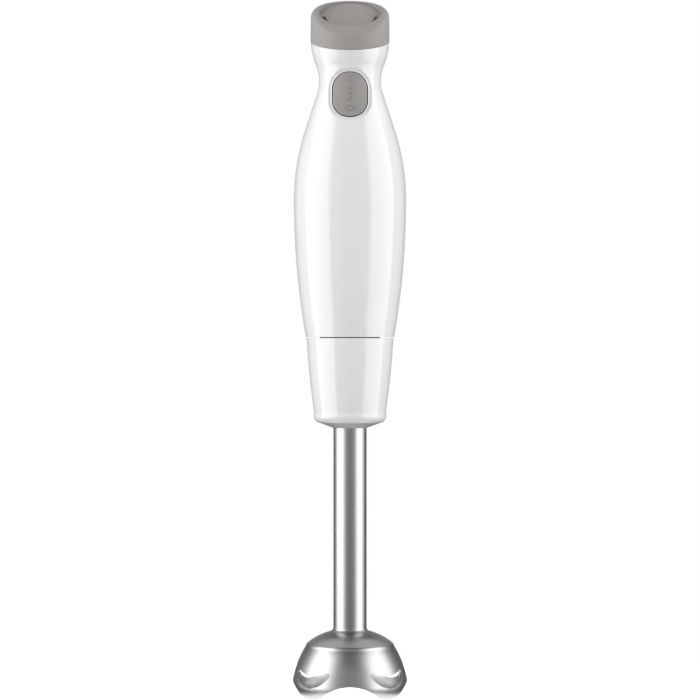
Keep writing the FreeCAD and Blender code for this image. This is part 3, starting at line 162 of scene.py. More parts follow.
NECK_MIDDLE = NECK_RADIUS + NECK_ARC
NECK_RISE = NECK_HEIGHT - BELLY_HEIGHT
BELLY_MIDDLE = BELLY_RADIUS - BELLY_HIGH_ARC
TANGENT = math.atan2(NECK_RISE, NECK_MIDDLE - BELLY_MIDDLE) - math.acos(
    (BELLY_HIGH_ARC + NECK_ARC) / math.hypot(NECK_RISE, NECK_MIDDLE - BELLY_MIDDLE))
HEAD_RISE = HEAD_HEIGHT - NECK_HEIGHT
HEAD_STEP = NECK_MIDDLE - HEAD_RADIUS
HEAD_ARC = (HEAD_STEP ** 2 + HEAD_RISE ** 2 - NECK_ARC ** 2) / (2 * (NECK_ARC - HEAD_STEP))
HEAD_ANGLE = math.asin(HEAD_RISE / (NECK_ARC + HEAD_ARC))
STRAIGHT_START = (BELLY_MIDDLE + BELLY_HIGH_ARC * math.cos(TANGENT),
                  BELLY_HEIGHT + BELLY_HIGH_ARC * math.sin(TANGENT))
STRAIGHT_END = (NECK_MIDDLE - NECK_ARC * math.cos(TANGENT), NECK_HEIGHT - NECK_ARC * math.sin(TANGENT))
NECK_END = NECK_HEIGHT + NECK_ARC * math.sin(HEAD_ANGLE)


def full_turn(count):
    """Angles once round a circle."""
    return 2 * math.pi * np.arange(count) / count


def round_axis(radius, angle, z):
    """Points by radius, angle and height. The angle runs from the front (-Y) towards +X."""
    return np.stack([radius * np.sin(angle), -radius * np.cos(angle), z + 0 * angle], -1)


def bow(radius, offset):
    """How far a circle reaches sideways at an offset from its middle."""
    return np.sqrt(np.maximum(radius ** 2 - offset ** 2, 0))


def housing_radius(z):
    """The housing's radius at a height: two belly arcs, a straight, the hollow neck and the head."""
    z = np.asarray(z, float)
    lower = BELLY_RADIUS - BELLY_LOW_ARC + bow(BELLY_LOW_ARC, z - BELLY_HEIGHT)
    upper = BELLY_MIDDLE + bow(BELLY_HIGH_ARC, z - BELLY_HEIGHT)
    straight = np.interp(z, [STRAIGHT_START[1], STRAIGHT_END[1]], [STRAIGHT_START[0], STRAIGHT_END[0]])
    neck = NECK_MIDDLE - bow(NECK_ARC, z - NECK_HEIGHT)
    head = HEAD_RADIUS - HEAD_ARC + bow(HEAD_ARC, z - HEAD_HEIGHT)
    ranges = [z < BELLY_HEIGHT, z < STRAIGHT_START[1], z < STRAIGHT_END[1], z < NECK_END, z < HEAD_HEIGHT]
    return np.select(ranges, [lower, upper, straight, neck, head], HEAD_RADIUS)


def on_form(angle, z, depth=0.0):
    """Points of the housing's form, sunk by a depth."""
    return round_axis(housing_radius(z) - depth, angle, z)


def seam_z(angle, radius, drop=0.0):
    return SEAM_HEIGHT - drop - math.tan(SEAM_TILT) * radius * np.cos(angle)


def housing_top(angle):
    """The height of the housing's upper edge, just under the cap's seam."""
    z = np.full_like(angle, SEAM_HEIGHT)
    for _ in range(6):
        z = seam_z(angle, housing_radius(z), SEAM_LINE)
    return z


def arc_points(start, end, radius, side, count):
    """Points after start up to end along an arc that turns left for side 1 and right for side -1."""
    start, end = np.array(start, float), np.array(end, float)
    chord = end - start
    length = np.hypot(*chord)
    rise = math.sqrt(max(radius ** 2 - (length / 2) ** 2, 0))
    centre = (start + end) / 2 + np.array([-chord[1], chord[0]]) / length * rise * side
    first = math.atan2(start[1] - centre[1], start[0] - centre[0])
    last = math.atan2(end[1] - centre[1], end[0] - centre[0])
    sweep = (last - first) * side % (2 * math.pi) * side
    turns = first + sweep * np.arange(1, count + 1) / count
    return [tuple(centre + radius * np.array([math.cos(turn), math.sin(turn)])) for turn in turns]


# ---------------- mesh helpers

def add_grid(bm, points, closed=False, flip=False, cap=False):
    """Quads between the rows of points. Rows go up and columns go round, so that the faces look outwards."""
    rows = [[bm.verts.new(point) for point in row] for row in np.asarray(points)]
    columns = len(rows[0])
    for low_row, high_row in zip(rows, rows[1:]):
        for here in range(columns if closed else columns - 1):
            after = (here + 1) % columns
            corners = [low_row[here], low_row[after], high_row[after], high_row[here]]
            bm.faces.new(reversed(corners) if flip else corners)
    if cap:
        bm.faces.new(rows[0] if flip else reversed(rows[0]))
        bm.faces.new(reversed(rows[-1]) if flip else rows[-1])


def finish_mesh(bm, name, weld=2e-6, smooth=True, turn_out=False):
    """Welds the parts of a mesh and makes an object of it. Its faces can be turned outwards first."""
    if turn_out:
        bmesh.ops.recalc_face_normals(bm, faces=bm.faces)
    bmesh.ops.remove_doubles(bm, verts=bm.verts, dist=weld)
    bmesh.ops.dissolve_degenerate(bm, edges=bm.edges, dist=weld / 2)
    mesh = bpy.data.meshes.new(name)
    bm.to_mesh(mesh)
    bm.free()
    mesh.polygons.foreach_set("use_smooth", [smooth] * len(mesh.polygons))
    piece = bpy.data.objects.new(name, mesh)
    bpy.context.scene.collection.objects.link(piece)
    return piece


def thicken(piece, thickness):
    """Gives a sheet its wall, inwards from its faces."""
    wall = piece.modifiers.new("wall", "SOLIDIFY")
    wall.thickness = thickness
    wall.offset = -1
    wall.use_even_offset = True


def soften(piece, width, angle=38):
    """Rounds the sharp edges."""
    edge = piece.modifiers.new("edges", "BEVEL")
    edge.width = width
    edge.segments = 2
    edge.limit_method = "ANGLE"
    edge.angle_limit = math.radians(angle)
    edge.harden_normals = True
    edge.miter_outer = "MITER_ARC"


def carve(piece, cutters):
    """Cuts the cutters' shapes out of a piece for good, and removes the cutters."""
    for cutter in cutters:
        cut = piece.modifiers.new("cut", "BOOLEAN")
        cut.operation = "DIFFERENCE"
        cut.solver = "EXACT"
        cut.object = cutter
    bake(piece)
    for cutter in cutters:
        bpy.data.objects.remove(cutter)


def bake(piece):
    """Applies the modifiers that a piece has so far."""
    shape = piece.evaluated_get(bpy.context.evaluated_depsgraph_get())
    mesh = bpy.data.meshes.new_from_object(shape)
    piece.modifiers.clear()
    piece.data = mesh


def lathe(name, profile, steps=128, start=0.0, sweep=2 * math.pi, bm=None):
    """Turns an outline of (radius, height) points about Z, with the solid on the outline's left."""
    own = bm or bmesh.new()
    whole = abs(sweep - 2 * math.pi) < 1e-6
    angles = start + sweep * np.arange(steps if whole else steps + 1) / steps
    outline = np.array(list(profile) + [profile[0]], float)
    points = round_axis(outline[:, :1], angles, outline[:, 1:])
    add_grid(own, points, closed=whole)
    if not whole:
        for column in (0, -1):
            corners = [own.verts.new(point) for point in points[:-1, column]]
            own.faces.new(corners if column == 0 else corners[::-1])
    return own if bm else finish_mesh(own, name)


def place(piece, body, slot, material, *nodes):
    """Rides a piece on its body, in the place of its CAD nodes, with its material. The slot is not used."""
    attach(piece, body)
    if nodes:
        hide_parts(*nodes)
    piece.data.materials.clear()
    piece.data.materials.append(material)
    return piece


# ---------------- outlines of holes

def rounded_outline(half_width, half_tall, corner):
    """How far a rounded rectangle reaches, as a function of the direction and of an added margin."""
    def reach(angle, margin):
        wide, tall, bend = half_width + margin, half_tall + margin, corner + margin
        across, up = abs(math.cos(angle)), abs(math.sin(angle))
        if across > 1e-9 and wide / across * up <= tall - bend:
            return wide / across
        if up > 1e-9 and tall / up * across <= wide - bend:
            return tall / up
        middle = (wide - bend) * across + (tall - bend) * up
        off = (wide - bend) ** 2 + (tall - bend) ** 2
        return middle + math.sqrt(max(middle ** 2 - off + bend ** 2, 0))
    return reach


def round_outline(radius):
    return lambda angle, margin: radius + margin


BUTTON_OUTLINE = rounded_outline(BUTTON_HALF_WIDTH, BUTTON_HALF_TALL, BUTTON_CORNER)


def seen_along_y(across, z, depth, back=False):
    """The point of the form, sunk by a depth, that lies straight behind or before a place in the XZ plane."""
    angle = math.asin(across / (float(housing_radius(z)) - depth))
    return (math.pi - angle if back else angle, z, depth)


def form_point(across, z, depth):
    """The point of the form, sunk by a depth, straight behind a place seen from the front."""
    return on_form(*(np.array(value) for value in seen_along_y(across, z, depth)))


def hole_loops(columns, rows, hole, wall):
    """Loops of (angle, height, depth) from a hole seen along Y out to the patch's border.

    With a wall, the loops belong to the inside of the shell, and the hole keeps its shape.
    """
    border = [(angle, rows[0]) for angle in columns[:-1]] + [(columns[-1], z) for z in rows[:-1]]
    border += [(angle, rows[-1]) for angle in columns[:0:-1]] + [(columns[0], z) for z in rows[:0:-1]]
    side = -1 if hole["back"] else 1
    middle_x, middle_z = hole["centre"]
    loops = []
    for margin, depth in hole["steps"]:
        loop = []
        for angle, border_z in border:
            off = side * ((float(housing_radius(border_z)) - wall) * math.sin(angle) - middle_x)
            direction = math.atan2(border_z - middle_z, off)
            reach = hole["outline"](direction, margin * (INNER_MARGIN if wall else 1))
            loop.append(seen_along_y(middle_x + side * reach * math.cos(direction),
                                     middle_z + reach * math.sin(direction), wall or depth, hole["back"]))
        loops.append(loop)
    edge = np.array([(angle, z, wall) for angle, z in border])
    last = np.array(loops[-1])
    loops += [last + (edge - last) * step / SPREAD for step in range(1, SPREAD + 1)]
    return np.array(loops)


def column_number(degrees, start):
    return round((math.radians(degrees) - start) / math.pi * HALF_COLUMNS)


def housing_half(name, start, bands, holes):
    """Half of the housing as a closed shell. A band of rows ends at a height or a function of the angle."""
    bm = bmesh.new()
    columns = start + math.pi * np.arange(HALF_COLUMNS + 1) / HALF_COLUMNS
    for number, (bottom, top, count) in enumerate(bands):
        share = np.linspace(0, 1, count + 1)[:, None]
        upper = top(columns) if callable(top) else np.full_like(columns, top)
        rows = bottom + (upper - bottom)[None, :] * share
        sheets = [on_form(columns, rows, depth) for depth in (0.0, HOUSING_WALL)]
        edge = 0
        for hole in [hole for hole in holes if hole["band"] == number]:
            first, last = (column_number(limit, start) for limit in hole["between"])
            for sheet, flip in zip(sheets, (False, True)):
                add_grid(bm, sheet[:, edge:first + 1], flip=flip)
            loops = [hole_loops(columns[first:last + 1], rows[:, first], hole, wall)
                     for wall in (0.0, HOUSING_WALL)]
            points = [on_form(loop[..., 0], loop[..., 1], loop[..., 2]) for loop in loops]
            add_grid(bm, points[0], closed=True, flip=True)
            add_grid(bm, points[1], closed=True)
            add_grid(bm, [points[1][0], points[0][0]], closed=True, flip=True)
            edge = last
        for sheet, flip in zip(sheets, (False, True)):
            add_grid(bm, sheet[:, edge:], flip=flip)
        outer, inner = sheets
        if number == 0:
            add_grid(bm, [inner[0], outer[0]])
        if number == len(bands) - 1:
            add_grid(bm, [outer[-1], inner[-1]])
        add_grid(bm, np.stack([inner[:, 0], outer[:, 0]], 1))
        add_grid(bm, np.stack([outer[:, -1], inner[:, -1]], 1))
    lip_out = float(housing_radius(HOUSING_BOTTOM)) - HOUSING_WALL / 2
    lathe(None, [(LIP_RADIUS, HOUSING_BOTTOM + LIP_START), (lip_out, HOUSING_BOTTOM + LIP_START),
                 (lip_out, HOUSING_BOTTOM + LIP_HEIGHT), (LIP_RADIUS, HOUSING_BOTTOM + LIP_HEIGHT)],
          HALF_COLUMNS, start, math.pi, bm)
    shell = finish_mesh(bm, name)
    soften(shell, 0.14 * MM)
    return shell


def front_shell():
    button = {"band": 1, "between": (-50.0, 50.0), "centre": (0.0, BUTTON_MIDDLE), "outline": BUTTON_OUTLINE,
              "steps": DISH_STEPS, "back": False}
    bands = [(HOUSING_BOTTOM, BUTTON_BAND[0], 92), (*BUTTON_BAND, 30), (BUTTON_BAND[1], housing_top, 9)]
    return housing_half("front_housing_shell", -math.pi / 2, bands, [button])


def rear_shell():
    holes = [
        {"band": 1, "between": (122.5, 150.0), "centre": (LOWER_SCREW_X, LOWER_SCREW_Z)},
        {"band": 1, "between": (210.0, 237.5), "centre": (-LOWER_SCREW_X, LOWER_SCREW_Z)},
        {"band": 3, "between": (167.5, 192.5), "centre": (0.0, UPPER_SCREW_Z)},
    ]
    for hole in holes:
        hole.update(outline=round_outline(SCREW_HOLE), steps=SCREW_STEPS, back=True)
    bands = [(HOUSING_BOTTOM, LOWER_SCREW_BAND[0], 4), (*LOWER_SCREW_BAND, 10),
             (LOWER_SCREW_BAND[1], UPPER_SCREW_BAND[0], 62), (*UPPER_SCREW_BAND, 10),
             (UPPER_SCREW_BAND[1], housing_top, 46)]
    return housing_half("rear_housing_shell", math.pi / 2, bands, holes)


def screw_sleeve(name, x, z, seat):
    """The boss that a housing screw sits in, from its seat out to the underside of the surface."""
    turns = full_turn(40)
    under = seat - BOSS_FLOOR
    loops = []
    for radius, y in ((SCREW_HOLE, None), (SCREW_HOLE, seat), (SCREW_BORE, seat), (SCREW_BORE, under),
                      (SCREW_BOSS, under), (SCREW_BOSS, None), (SCREW_HOLE, None)):
        across, up = x + radius * np.cos(turns), z + radius * np.sin(turns)
        surface = np.sqrt((housing_radius(up) - BOSS_SUNK) ** 2 - across ** 2)
        loops.append(np.stack([across, surface if y is None else np.full_like(across, y), up], -1))
    bm = bmesh.new()
    add_grid(bm, loops, closed=True, flip=True)
    return finish_mesh(bm, name, smooth=False)


# ---------------- cap

def cap_side(z):
    """The cap's radius: flush with the housing up to the widest line of the head, then a slight taper."""
    above = np.interp(z, [HEAD_HEIGHT, TOP_LIMIT], [HEAD_RADIUS, TOP_RADIUS])
    return np.where(z < HEAD_HEIGHT, housing_radius(z), above)


def crown_height(y):
    """The height of the cap's crowned top at a distance from the front."""
    return CROWN_Z + np.sqrt(TOP_CROWN ** 2 - (y - CROWN_Y) ** 2)


def on_floor(radius, angle, drop):
    """A point by its radius and angle on the recess's sloping floor, sunk square to it."""
    x, y = radius * np.sin(angle), -radius * np.cos(angle)
    return np.stack([x, y * math.cos(RECESS_TILT) + drop * math.sin(RECESS_TILT),
                     RECESS_HEIGHT + y * math.sin(RECESS_TILT) - drop * math.cos(RECESS_TILT)], -1)


def recess_lip(angle):
    """Where the recess's wall comes out at the crowned top."""
    rise = np.zeros_like(angle)
    for _ in range(12):
        point = on_floor(RECESS_RADIUS, angle, -rise)
        rise = rise + (crown_height(point[:, 1]) - point[:, 2]) / math.cos(RECESS_TILT) * 0.8
    return on_floor(RECESS_RADIUS, angle, -rise)


def vent_tool(side):
    """The notch under one air slot, through the ledge that the panel rests on."""
    turns = side * np.linspace(VENT_START, VENT_END, 20)
    radii = np.repeat([VENT_INNER, VENT_OUTER], len(turns))
    outline = np.concatenate([turns, turns[::-1]])
    drops = (INSERT_THICKNESS - 0.2 * MM, INSERT_THICKNESS + VENT_DEPTH)
    bm = bmesh.new()
    add_grid(bm, [on_floor(radii, outline, drop) for drop in drops], closed=True, cap=True)
    return finish_mesh(bm, "vent_tool", turn_out=True)


def inlet_tool():
    """The round hole through the cap's back for the lead's grommet."""
    turns = full_turn(64)
    across, up = INLET_HOLE * np.cos(turns), INLET_HEIGHT + INLET_HOLE * np.sin(turns)
    bm = bmesh.new()
    add_grid(bm, [np.stack([across, y + 0 * turns, up], -1) for y in (INLET_START, INLET_END)],
             closed=True, flip=True, cap=True)
    return finish_mesh(bm, "inlet_hole_tool", turn_out=True)


def cap_shell():
    """The cap as loops round the axis: up the skirt and the side, over the round edge, down the recess."""
    angles = full_turn(240)

    def ring(radius, z):
        return round_axis(radius, angles, z)

    loops = [ring(CAP_BORE, seam_z(angles, CAP_BORE, SKIRT_DEPTH)),
             ring(SKIRT_RADIUS, seam_z(angles, SKIRT_RADIUS, SKIRT_DEPTH)),
             ring(SKIRT_RADIUS, seam_z(angles, SKIRT_RADIUS))]
    bottom = seam_z(angles, HEAD_RADIUS)
    for _ in range(6):
        bottom = seam_z(angles, cap_side(bottom))
    corner_z = crown_height(-HEAD_RADIUS * np.cos(angles))
    for _ in range(4):
        corner_y = -cap_side(corner_z) * np.cos(angles)
        corner_z = crown_height(corner_y)
    corner = np.stack([cap_side(corner_z), corner_z], -1)
    slope = (corner_y - CROWN_Y) / (corner_z - CROWN_Z) * np.cos(angles)
    down = np.stack([0 * angles, -1 + 0 * angles], -1)
    inward = np.stack([-1 + 0 * angles, -slope], -1) / np.sqrt(1 + slope ** 2)[:, None]
    opening = np.arccos(np.clip(-inward[:, 1], -1, 1))
    reach = TOP_ROUND / np.tan(opening / 2)
    bisector = down + inward
    bisector /= np.linalg.norm(bisector, axis=1)[:, None]
    centre = corner + bisector * (TOP_ROUND / np.sin(opening / 2))[:, None]
    start, end = corner + down * reach[:, None], corner + inward * reach[:, None]
    for share in np.linspace(0, 1, 16)[:-1]:
        z = bottom + (start[:, 1] - bottom) * share
        loops.append(ring(cap_side(z), z))
    first = np.arctan2(*(start - centre).T[::-1])
    last = np.arctan2(*(end - centre).T[::-1])
    for share in np.linspace(0, 1, 11):
        turn = first + (last - first) * share
        loops.append(ring(centre[:, 0] + TOP_ROUND * np.cos(turn), centre[:, 1] + TOP_ROUND * np.sin(turn)))
    turned = np.arctan2(np.sin(angles) * math.cos(RECESS_TILT), np.cos(angles))
    lip, edge = recess_lip(turned), loops[-1]
    width = np.linalg.norm(edge - lip, axis=1)[:, None]
    groove = [(width * 0 + out, sunk) for out, sunk in LIP_GROOVE]
    for off, sunk in [(0.8 * width, 0.0), *groove, (0 * width, 0.0)]:
        across = lip + (edge - lip) * np.minimum(off / width, 0.95)
        across[:, 2] = crown_height(across[:, 1]) - sunk
        loops.append(across)
    ledge = INSERT_THICKNESS + 0.1 * MM
    inner = RECESS_HEIGHT - CAP_BORE * np.cos(angles) * math.tan(RECESS_TILT) - ledge / math.cos(RECESS_TILT)
    loops += [on_floor(RECESS_RADIUS, turned, drop) for drop in (0.0, ledge)]
    loops += [ring(CAP_BORE, inner), loops[0]]
    bm = bmesh.new()
    add_grid(bm, loops, closed=True)
    cap = finish_mesh(bm, "top_cap_shell")
    carve(cap, [inlet_tool(), vent_tool(-1), vent_tool(1)])
    soften(cap, 0.22 * MM)
    return cap


def cap_panel():
    """The dished panel in the recess, with an air slot at each side, its top a little below the lip."""
    count = 180
    angles = full_turn(count)
    outer = RECESS_RADIUS - INSERT_GAP
    brim = math.sqrt(DISH_SPHERE ** 2 - (DISH_SPHERE - DISH_DEPTH) ** 2)
    radii = list(brim * np.linspace(0, 1, 14))
    radii += [brim * 1.06, 12.2 * MM, VENT_INNER, VENT_OUTER, outer - 0.2 * MM, outer]
    top, under = [], []
    for radius in radii:
        hollow = max(math.sqrt(max(DISH_SPHERE ** 2 - radius ** 2, 0)) - (DISH_SPHERE - DISH_DEPTH), 0)
        top.append(on_floor(radius, angles, hollow))
        under.append(on_floor(radius, angles, INSERT_THICKNESS))
    bm = bmesh.new()
    first, last = round(VENT_START / (2 * math.pi) * count), round(VENT_END / (2 * math.pi) * count)
    vents = [(first, last), (count - last, count - first)]
    slot = radii.index(VENT_INNER)
    top, under = np.array(top), np.array(under)
    for below, above in ((0, slot + 1), (slot + 1, len(radii))):
        add_grid(bm, top[below:above], closed=True, flip=True)
        add_grid(bm, under[below:above], closed=True)
    for near, far in zip([0, *[vent[1] for vent in vents]], [*[vent[0] for vent in vents], count]):
        turn = np.arange(near, far + 1) % count
        add_grid(bm, top[slot:slot + 2][:, turn], flip=True)
        add_grid(bm, under[slot:slot + 2][:, turn])
    for near, far in vents:
        turn = np.arange(near, far + 1) % count
        add_grid(bm, [under[slot, turn], top[slot, turn]])
        add_grid(bm, [top[slot + 1, turn], under[slot + 1, turn]])
        for column, order in ((near, (0, 1)), (far % count, (1, 0))):
            ends = np.stack([under[slot:slot + 2, column], top[slot:slot + 2, column]], 1)
            add_grid(bm, ends[:, order])
    add_grid(bm, [under[-1], top[-1]], closed=True)
    bmesh.ops.remove_doubles(bm, verts=bm.verts, dist=2e-6)
    panel = finish_mesh(bm, "cap_insert_panel", turn_out=True)
    soften(panel, 0.18 * MM)
    return panel


# ---------------- button

def button_pad():
    """The button: a pad in the housing's form with a rounded edge, straight walls and a flange behind."""
    edge = BUTTON_ROUND

    def loop(margin, depth, scale=1.0):
        points = []
        for turn in full_turn(160):
            reach = BUTTON_OUTLINE(turn, margin) * scale
            points.append(form_point(reach * math.cos(turn), BUTTON_MIDDLE + reach * math.sin(turn), depth))
        return points

    loops = [loop(0, BUTTON_FLANGE_BACK, scale) for scale in (0.02, 0.5)]
    loops += [loop(BUTTON_FLANGE, BUTTON_FLANGE_BACK), loop(BUTTON_FLANGE, BUTTON_FLANGE_FRONT),
              loop(0, BUTTON_FLANGE_FRONT)]
    for share in np.linspace(0, 1, 7):
        turn = share * math.pi / 2
        loops.append(loop(-edge * (1 - math.cos(turn)), edge - BUTTON_PROUD - edge * math.sin(turn)))
    for scale in np.linspace(0.93, 0, 15):
        loops.append(loop(-edge, -BUTTON_PROUD, scale))
    bm = bmesh.new()
    add_grid(bm, np.array(loops), closed=True)
    bmesh.ops.remove_doubles(bm, verts=bm.verts, dist=2e-6)
    bmesh.ops.holes_fill(bm, edges=bm.edges)
    pad = finish_mesh(bm, "button_pad", turn_out=True)
    soften(pad, 0.1 * MM)
    return pad


def press_spring():
    """The coil spring behind the button, of round wire."""
    turns = np.linspace(0, 2 * math.pi * SPRING_TURNS, 40 * SPRING_TURNS + 1)
    along = np.linspace(SPRING_FRONT, SPRING_BACK, len(turns))
    section = full_turn(10)
    loops = []
    for turn, y in zip(turns, along):
        out = SPRING_RADIUS + SPRING_WIRE * np.cos(section)
        loops.append(np.stack([out * math.cos(turn), y + SPRING_WIRE * np.sin(section),
                               BUTTON_MIDDLE + out * math.sin(turn)], -1))
    bm = bmesh.new()
    add_grid(bm, loops, closed=True, cap=True)
    return finish_mesh(bm, "press_spring", turn_out=True)


def raised_stroke(bm, points, half_width=0.26 * MM, rise=0.2 * MM):
    """A raised line on the button along points in the XZ plane, with a rounded section."""
    points = np.array(points, float)
    along = np.gradient(points, axis=0)
    along /= np.linalg.norm(along, axis=1)[:, None]
    across = np.stack([-along[:, 1], along[:, 0]], -1)
    closed = bool(np.allclose(points[0], points[-1]))
    rows = []
    for share, up in STROKE_SECTION:
        ends = np.ones(len(points))
        if not closed:
            ends[[0, -1]] = -0.5
        row = []
        for (x, z), end in zip(points + across * half_width * share, ends):
            depth = -BUTTON_PROUD - rise * min(up, end)
            row.append(form_point(x, BUTTON_MIDDLE + z, depth))
        rows.append(row)
    add_grid(bm, rows)


def dense(points, step=0.18 * MM):
    """More points along straight lines, so that a stroke follows the button's curve."""
    points = [np.array(point, float) for point in points]
    found = [points[0]]
    for start, end in zip(points, points[1:]):
        count = max(int(np.linalg.norm(end - start) / step), 1)
        found += [start + (end - start) * part / count for part in range(1, count + 1)]
    return found


def button_marks():
    """Raised marks: 1, an arrowhead that points down, 2, and a flat ring below."""
    tall, wide = MARK_TALL, MARK_WIDE
    bm = bmesh.new()
    raised_stroke(bm, dense([(-0.32 * wide, MARK_ONE + 0.3 * tall), (0.1 * wide, MARK_ONE + tall / 2),
                             (0.1 * wide, MARK_ONE - tall / 2)]))
    raised_stroke(bm, dense([(-0.66 * wide, MARK_ARROW + 0.4 * wide), (0, MARK_ARROW - 0.4 * wide),
                             (0.66 * wide, MARK_ARROW + 0.4 * wide)]))
    bend = 0.52 * wide
    turns = np.linspace(math.radians(165), math.radians(-38), 18)
    top = [(bend * math.cos(turn), MARK_TWO + tall / 2 - bend + bend * math.sin(turn)) for turn in turns]
    foot = MARK_TWO - tall / 2
    raised_stroke(bm, dense(top + [(-0.5 * wide, foot), (0.55 * wide, foot)]))
    turns = np.linspace(0, 2 * math.pi, 61)
    ring = [(MARK_RING_WIDE * math.cos(turn), MARK_RING + MARK_RING_TALL * math.sin(turn)) for turn in turns]
    raised_stroke(bm, ring, half_width=0.2 * MM)
    return finish_mesh(bm, "button_marks")


# ---------------- foot

COLLAR_EDGE, COLLAR_TURN = (18.2 * MM, 150.1 * MM), (19.8 * MM, 155.2 * MM)
COLLAR_CORNER, COLLAR_SIDE = 4.2 * MM, 470 * MM
COLLAR_WALL = 2.0 * MM
TUBE_HOLE = 9.22 * MM
TUBE_RADIUS = 9.17 * MM
TUBE_WALL = 0.8 * MM


def collar_shell():
    """The white cone at the top of the foot, with a rounded lower edge."""
    bottom, top = low("foot_collar", Z), high("foot_collar", Z)
    edge, corner, rim, wall = COLLAR_EDGE, COLLAR_TURN, (high("foot_collar", X), top), COLLAR_WALL
    outer = [(TUBE_HOLE + (edge[0] - TUBE_HOLE) * share, bottom + (edge[1] - bottom) * share)
             for share in np.linspace(0, 1, 8)]
    outer += arc_points(edge, corner, COLLAR_CORNER, 1, 10) + arc_points(corner, rim, COLLAR_SIDE, 1, 40)
    inner = [(rim[0] - wall, top)]
    inner += arc_points(inner[0], (corner[0] - wall, corner[1] + wall / 2), COLLAR_SIDE, -1, 20)
    inner += [(edge[0] - wall, edge[1] + wall), (TUBE_HOLE, bottom + wall)]
    shell = lathe("foot_collar_shell", outer + inner, 240)
    soften(shell, 0.25 * MM)
    return shell


def steel_tube():
    bottom, top = low("shaft_tube", Z), high("shaft_tube", Z)
    rows = list(np.linspace(bottom, top, 60))
    profile = [(TUBE_RADIUS, z) for z in rows] + [(TUBE_RADIUS - TUBE_WALL, z) for z in rows[::-1]]
    tube = lathe("shaft_tube_steel", profile, 192)
    soften(tube, 0.1 * MM)
    return tube


SHEET = 1.0 * MM
ARCH_HALF, ARCH_HEIGHT, ARCH_CROWN = 20.7 * MM, 8.0 * MM, 22.0 * MM
ARCH_FLARE = ARCH_HALF / math.sin(2 * math.atan(ARCH_HEIGHT / ARCH_HALF)) - ARCH_CROWN
ARCH_MEET = ARCH_CROWN * ARCH_HALF / (ARCH_CROWN + ARCH_FLARE)
SKIRT = ((24.3 * MM, 26.8 * MM), (31.7 * MM, 7.3 * MM), (30.3 * MM, 0.0))
SKIRT_ARCS = (54 * MM, 18 * MM)
WINDOW_HALF, WINDOW_END_Z, WINDOW_LOW = 12.2 * MM, 13.2 * MM, 14.0 * MM
WINDOW_SHOULDER, WINDOW_SHOULDER_Z, WINDOW_HIGH, WINDOW_ROUND = 10.2 * MM, 15.0 * MM, 25.0 * MM, 1.6 * MM
ROUND_CENTRE = (10.62 * MM, 13.46 * MM)
WINDOW_REACH = ROUND_CENTRE[0] + WINDOW_ROUND
DOME_EDGE, DOME_ARC = (23.1 * MM, 28.6 * MM), 34 * MM
GUARD_NECK, NECK_FOOT = (TUBE_HOLE, 36.6 * MM), (10.7 * MM, 34.7 * MM)
GUARD_FILLET = 2.4 * MM


def guard_profile():
    """The guard's side as a table of heights and radii, from the rim up to the shoulder."""
    points = [SKIRT[2]]
    points += arc_points(SKIRT[2], SKIRT[1], SKIRT_ARCS[1], 1, 40)
    points += arc_points(SKIRT[1], SKIRT[0], SKIRT_ARCS[0], 1, 80)
    radii, heights = np.array(points).T
    return lambda z: np.interp(z, heights, radii)


def arch_height(across):
    """The height of the rim's arch at a distance from its middle: a round crown with flared ends."""
    crown = ARCH_HEIGHT - ARCH_CROWN + bow(ARCH_CROWN, across)
    flare = ARCH_FLARE - bow(ARCH_FLARE, ARCH_HALF - across)
    return np.where(across < ARCH_MEET, crown, np.where(across < ARCH_HALF, flare, 0.0))


def window_low(across):
    return WINDOW_END_Z + bow(WINDOW_LOW, WINDOW_HALF) - bow(WINDOW_LOW, np.minimum(across, WINDOW_HALF))


def window_high(across):
    sag = WINDOW_SHOULDER_Z + bow(WINDOW_HIGH, WINDOW_SHOULDER) - bow(WINDOW_HIGH, across)
    end = ROUND_CENTRE[1] + bow(WINDOW_ROUND, across - ROUND_CENTRE[0])
    return np.where(across < WINDOW_SHOULDER, sag, end)


def blade_guard():
    """The bell: a skirt with four rim arches and a crescent window over each lobe, a shoulder and a dome."""
    radius = guard_profile()
    end = math.asin(WINDOW_REACH / float(radius(ROUND_CENTRE[1])))
    window = end * np.sin(np.linspace(-math.pi / 2, math.pi / 2, 45))
    beside = np.linspace(end, math.pi / 4, 17)[1:]
    sector = np.concatenate([-beside[::-1], window, beside])[:-1]
    open_here = np.abs(sector) < end * (1 - 1e-9)

    def solve(outline, angles, z):
        for _ in range(12):
            z = outline(radius(z) * np.sin(np.abs(angles)))
        return z

    bottom = solve(arch_height, math.pi / 4 - np.abs(sector), np.zeros_like(sector))
    lower, upper = (np.where(open_here, solve(outline, sector, np.full_like(sector, z)), ROUND_CENTRE[1])
                    for outline, z in ((window_low, WINDOW_END_Z), (window_high, WINDOW_SHOULDER_Z)))
    angles = np.concatenate([sector + math.pi / 4 + quarter * math.pi / 2 for quarter in range(4)])
    bottom, lower, upper = (np.tile(values, 4) for values in (bottom, lower, upper))

    def ring(z, r=None):
        return round_axis(radius(z) if r is None else r, angles, z)

    bm = bmesh.new()
    add_grid(bm, [ring(bottom + (lower - bottom) * share) for share in np.linspace(0, 1, 13)], closed=True)
    rows = [ring(upper + (SKIRT[0][1] - upper) * share) for share in np.linspace(0, 1, 19)]
    over = arc_points(SKIRT[0], DOME_EDGE, GUARD_FILLET, 1, 6)
    over += arc_points(DOME_EDGE, NECK_FOOT, DOME_ARC, 1, 22)
    over += arc_points(NECK_FOOT, GUARD_NECK, GUARD_FILLET, -1, 7)
    rows += [ring(z, r) for r, z in over]
    add_grid(bm, rows, closed=True)
    guard = finish_mesh(bm, "blade_guard_steel", weld=1e-6)
    thicken(guard, SHEET)
    soften(guard, 0.09 * MM, angle=50)
    return guard


# ---------------- materials

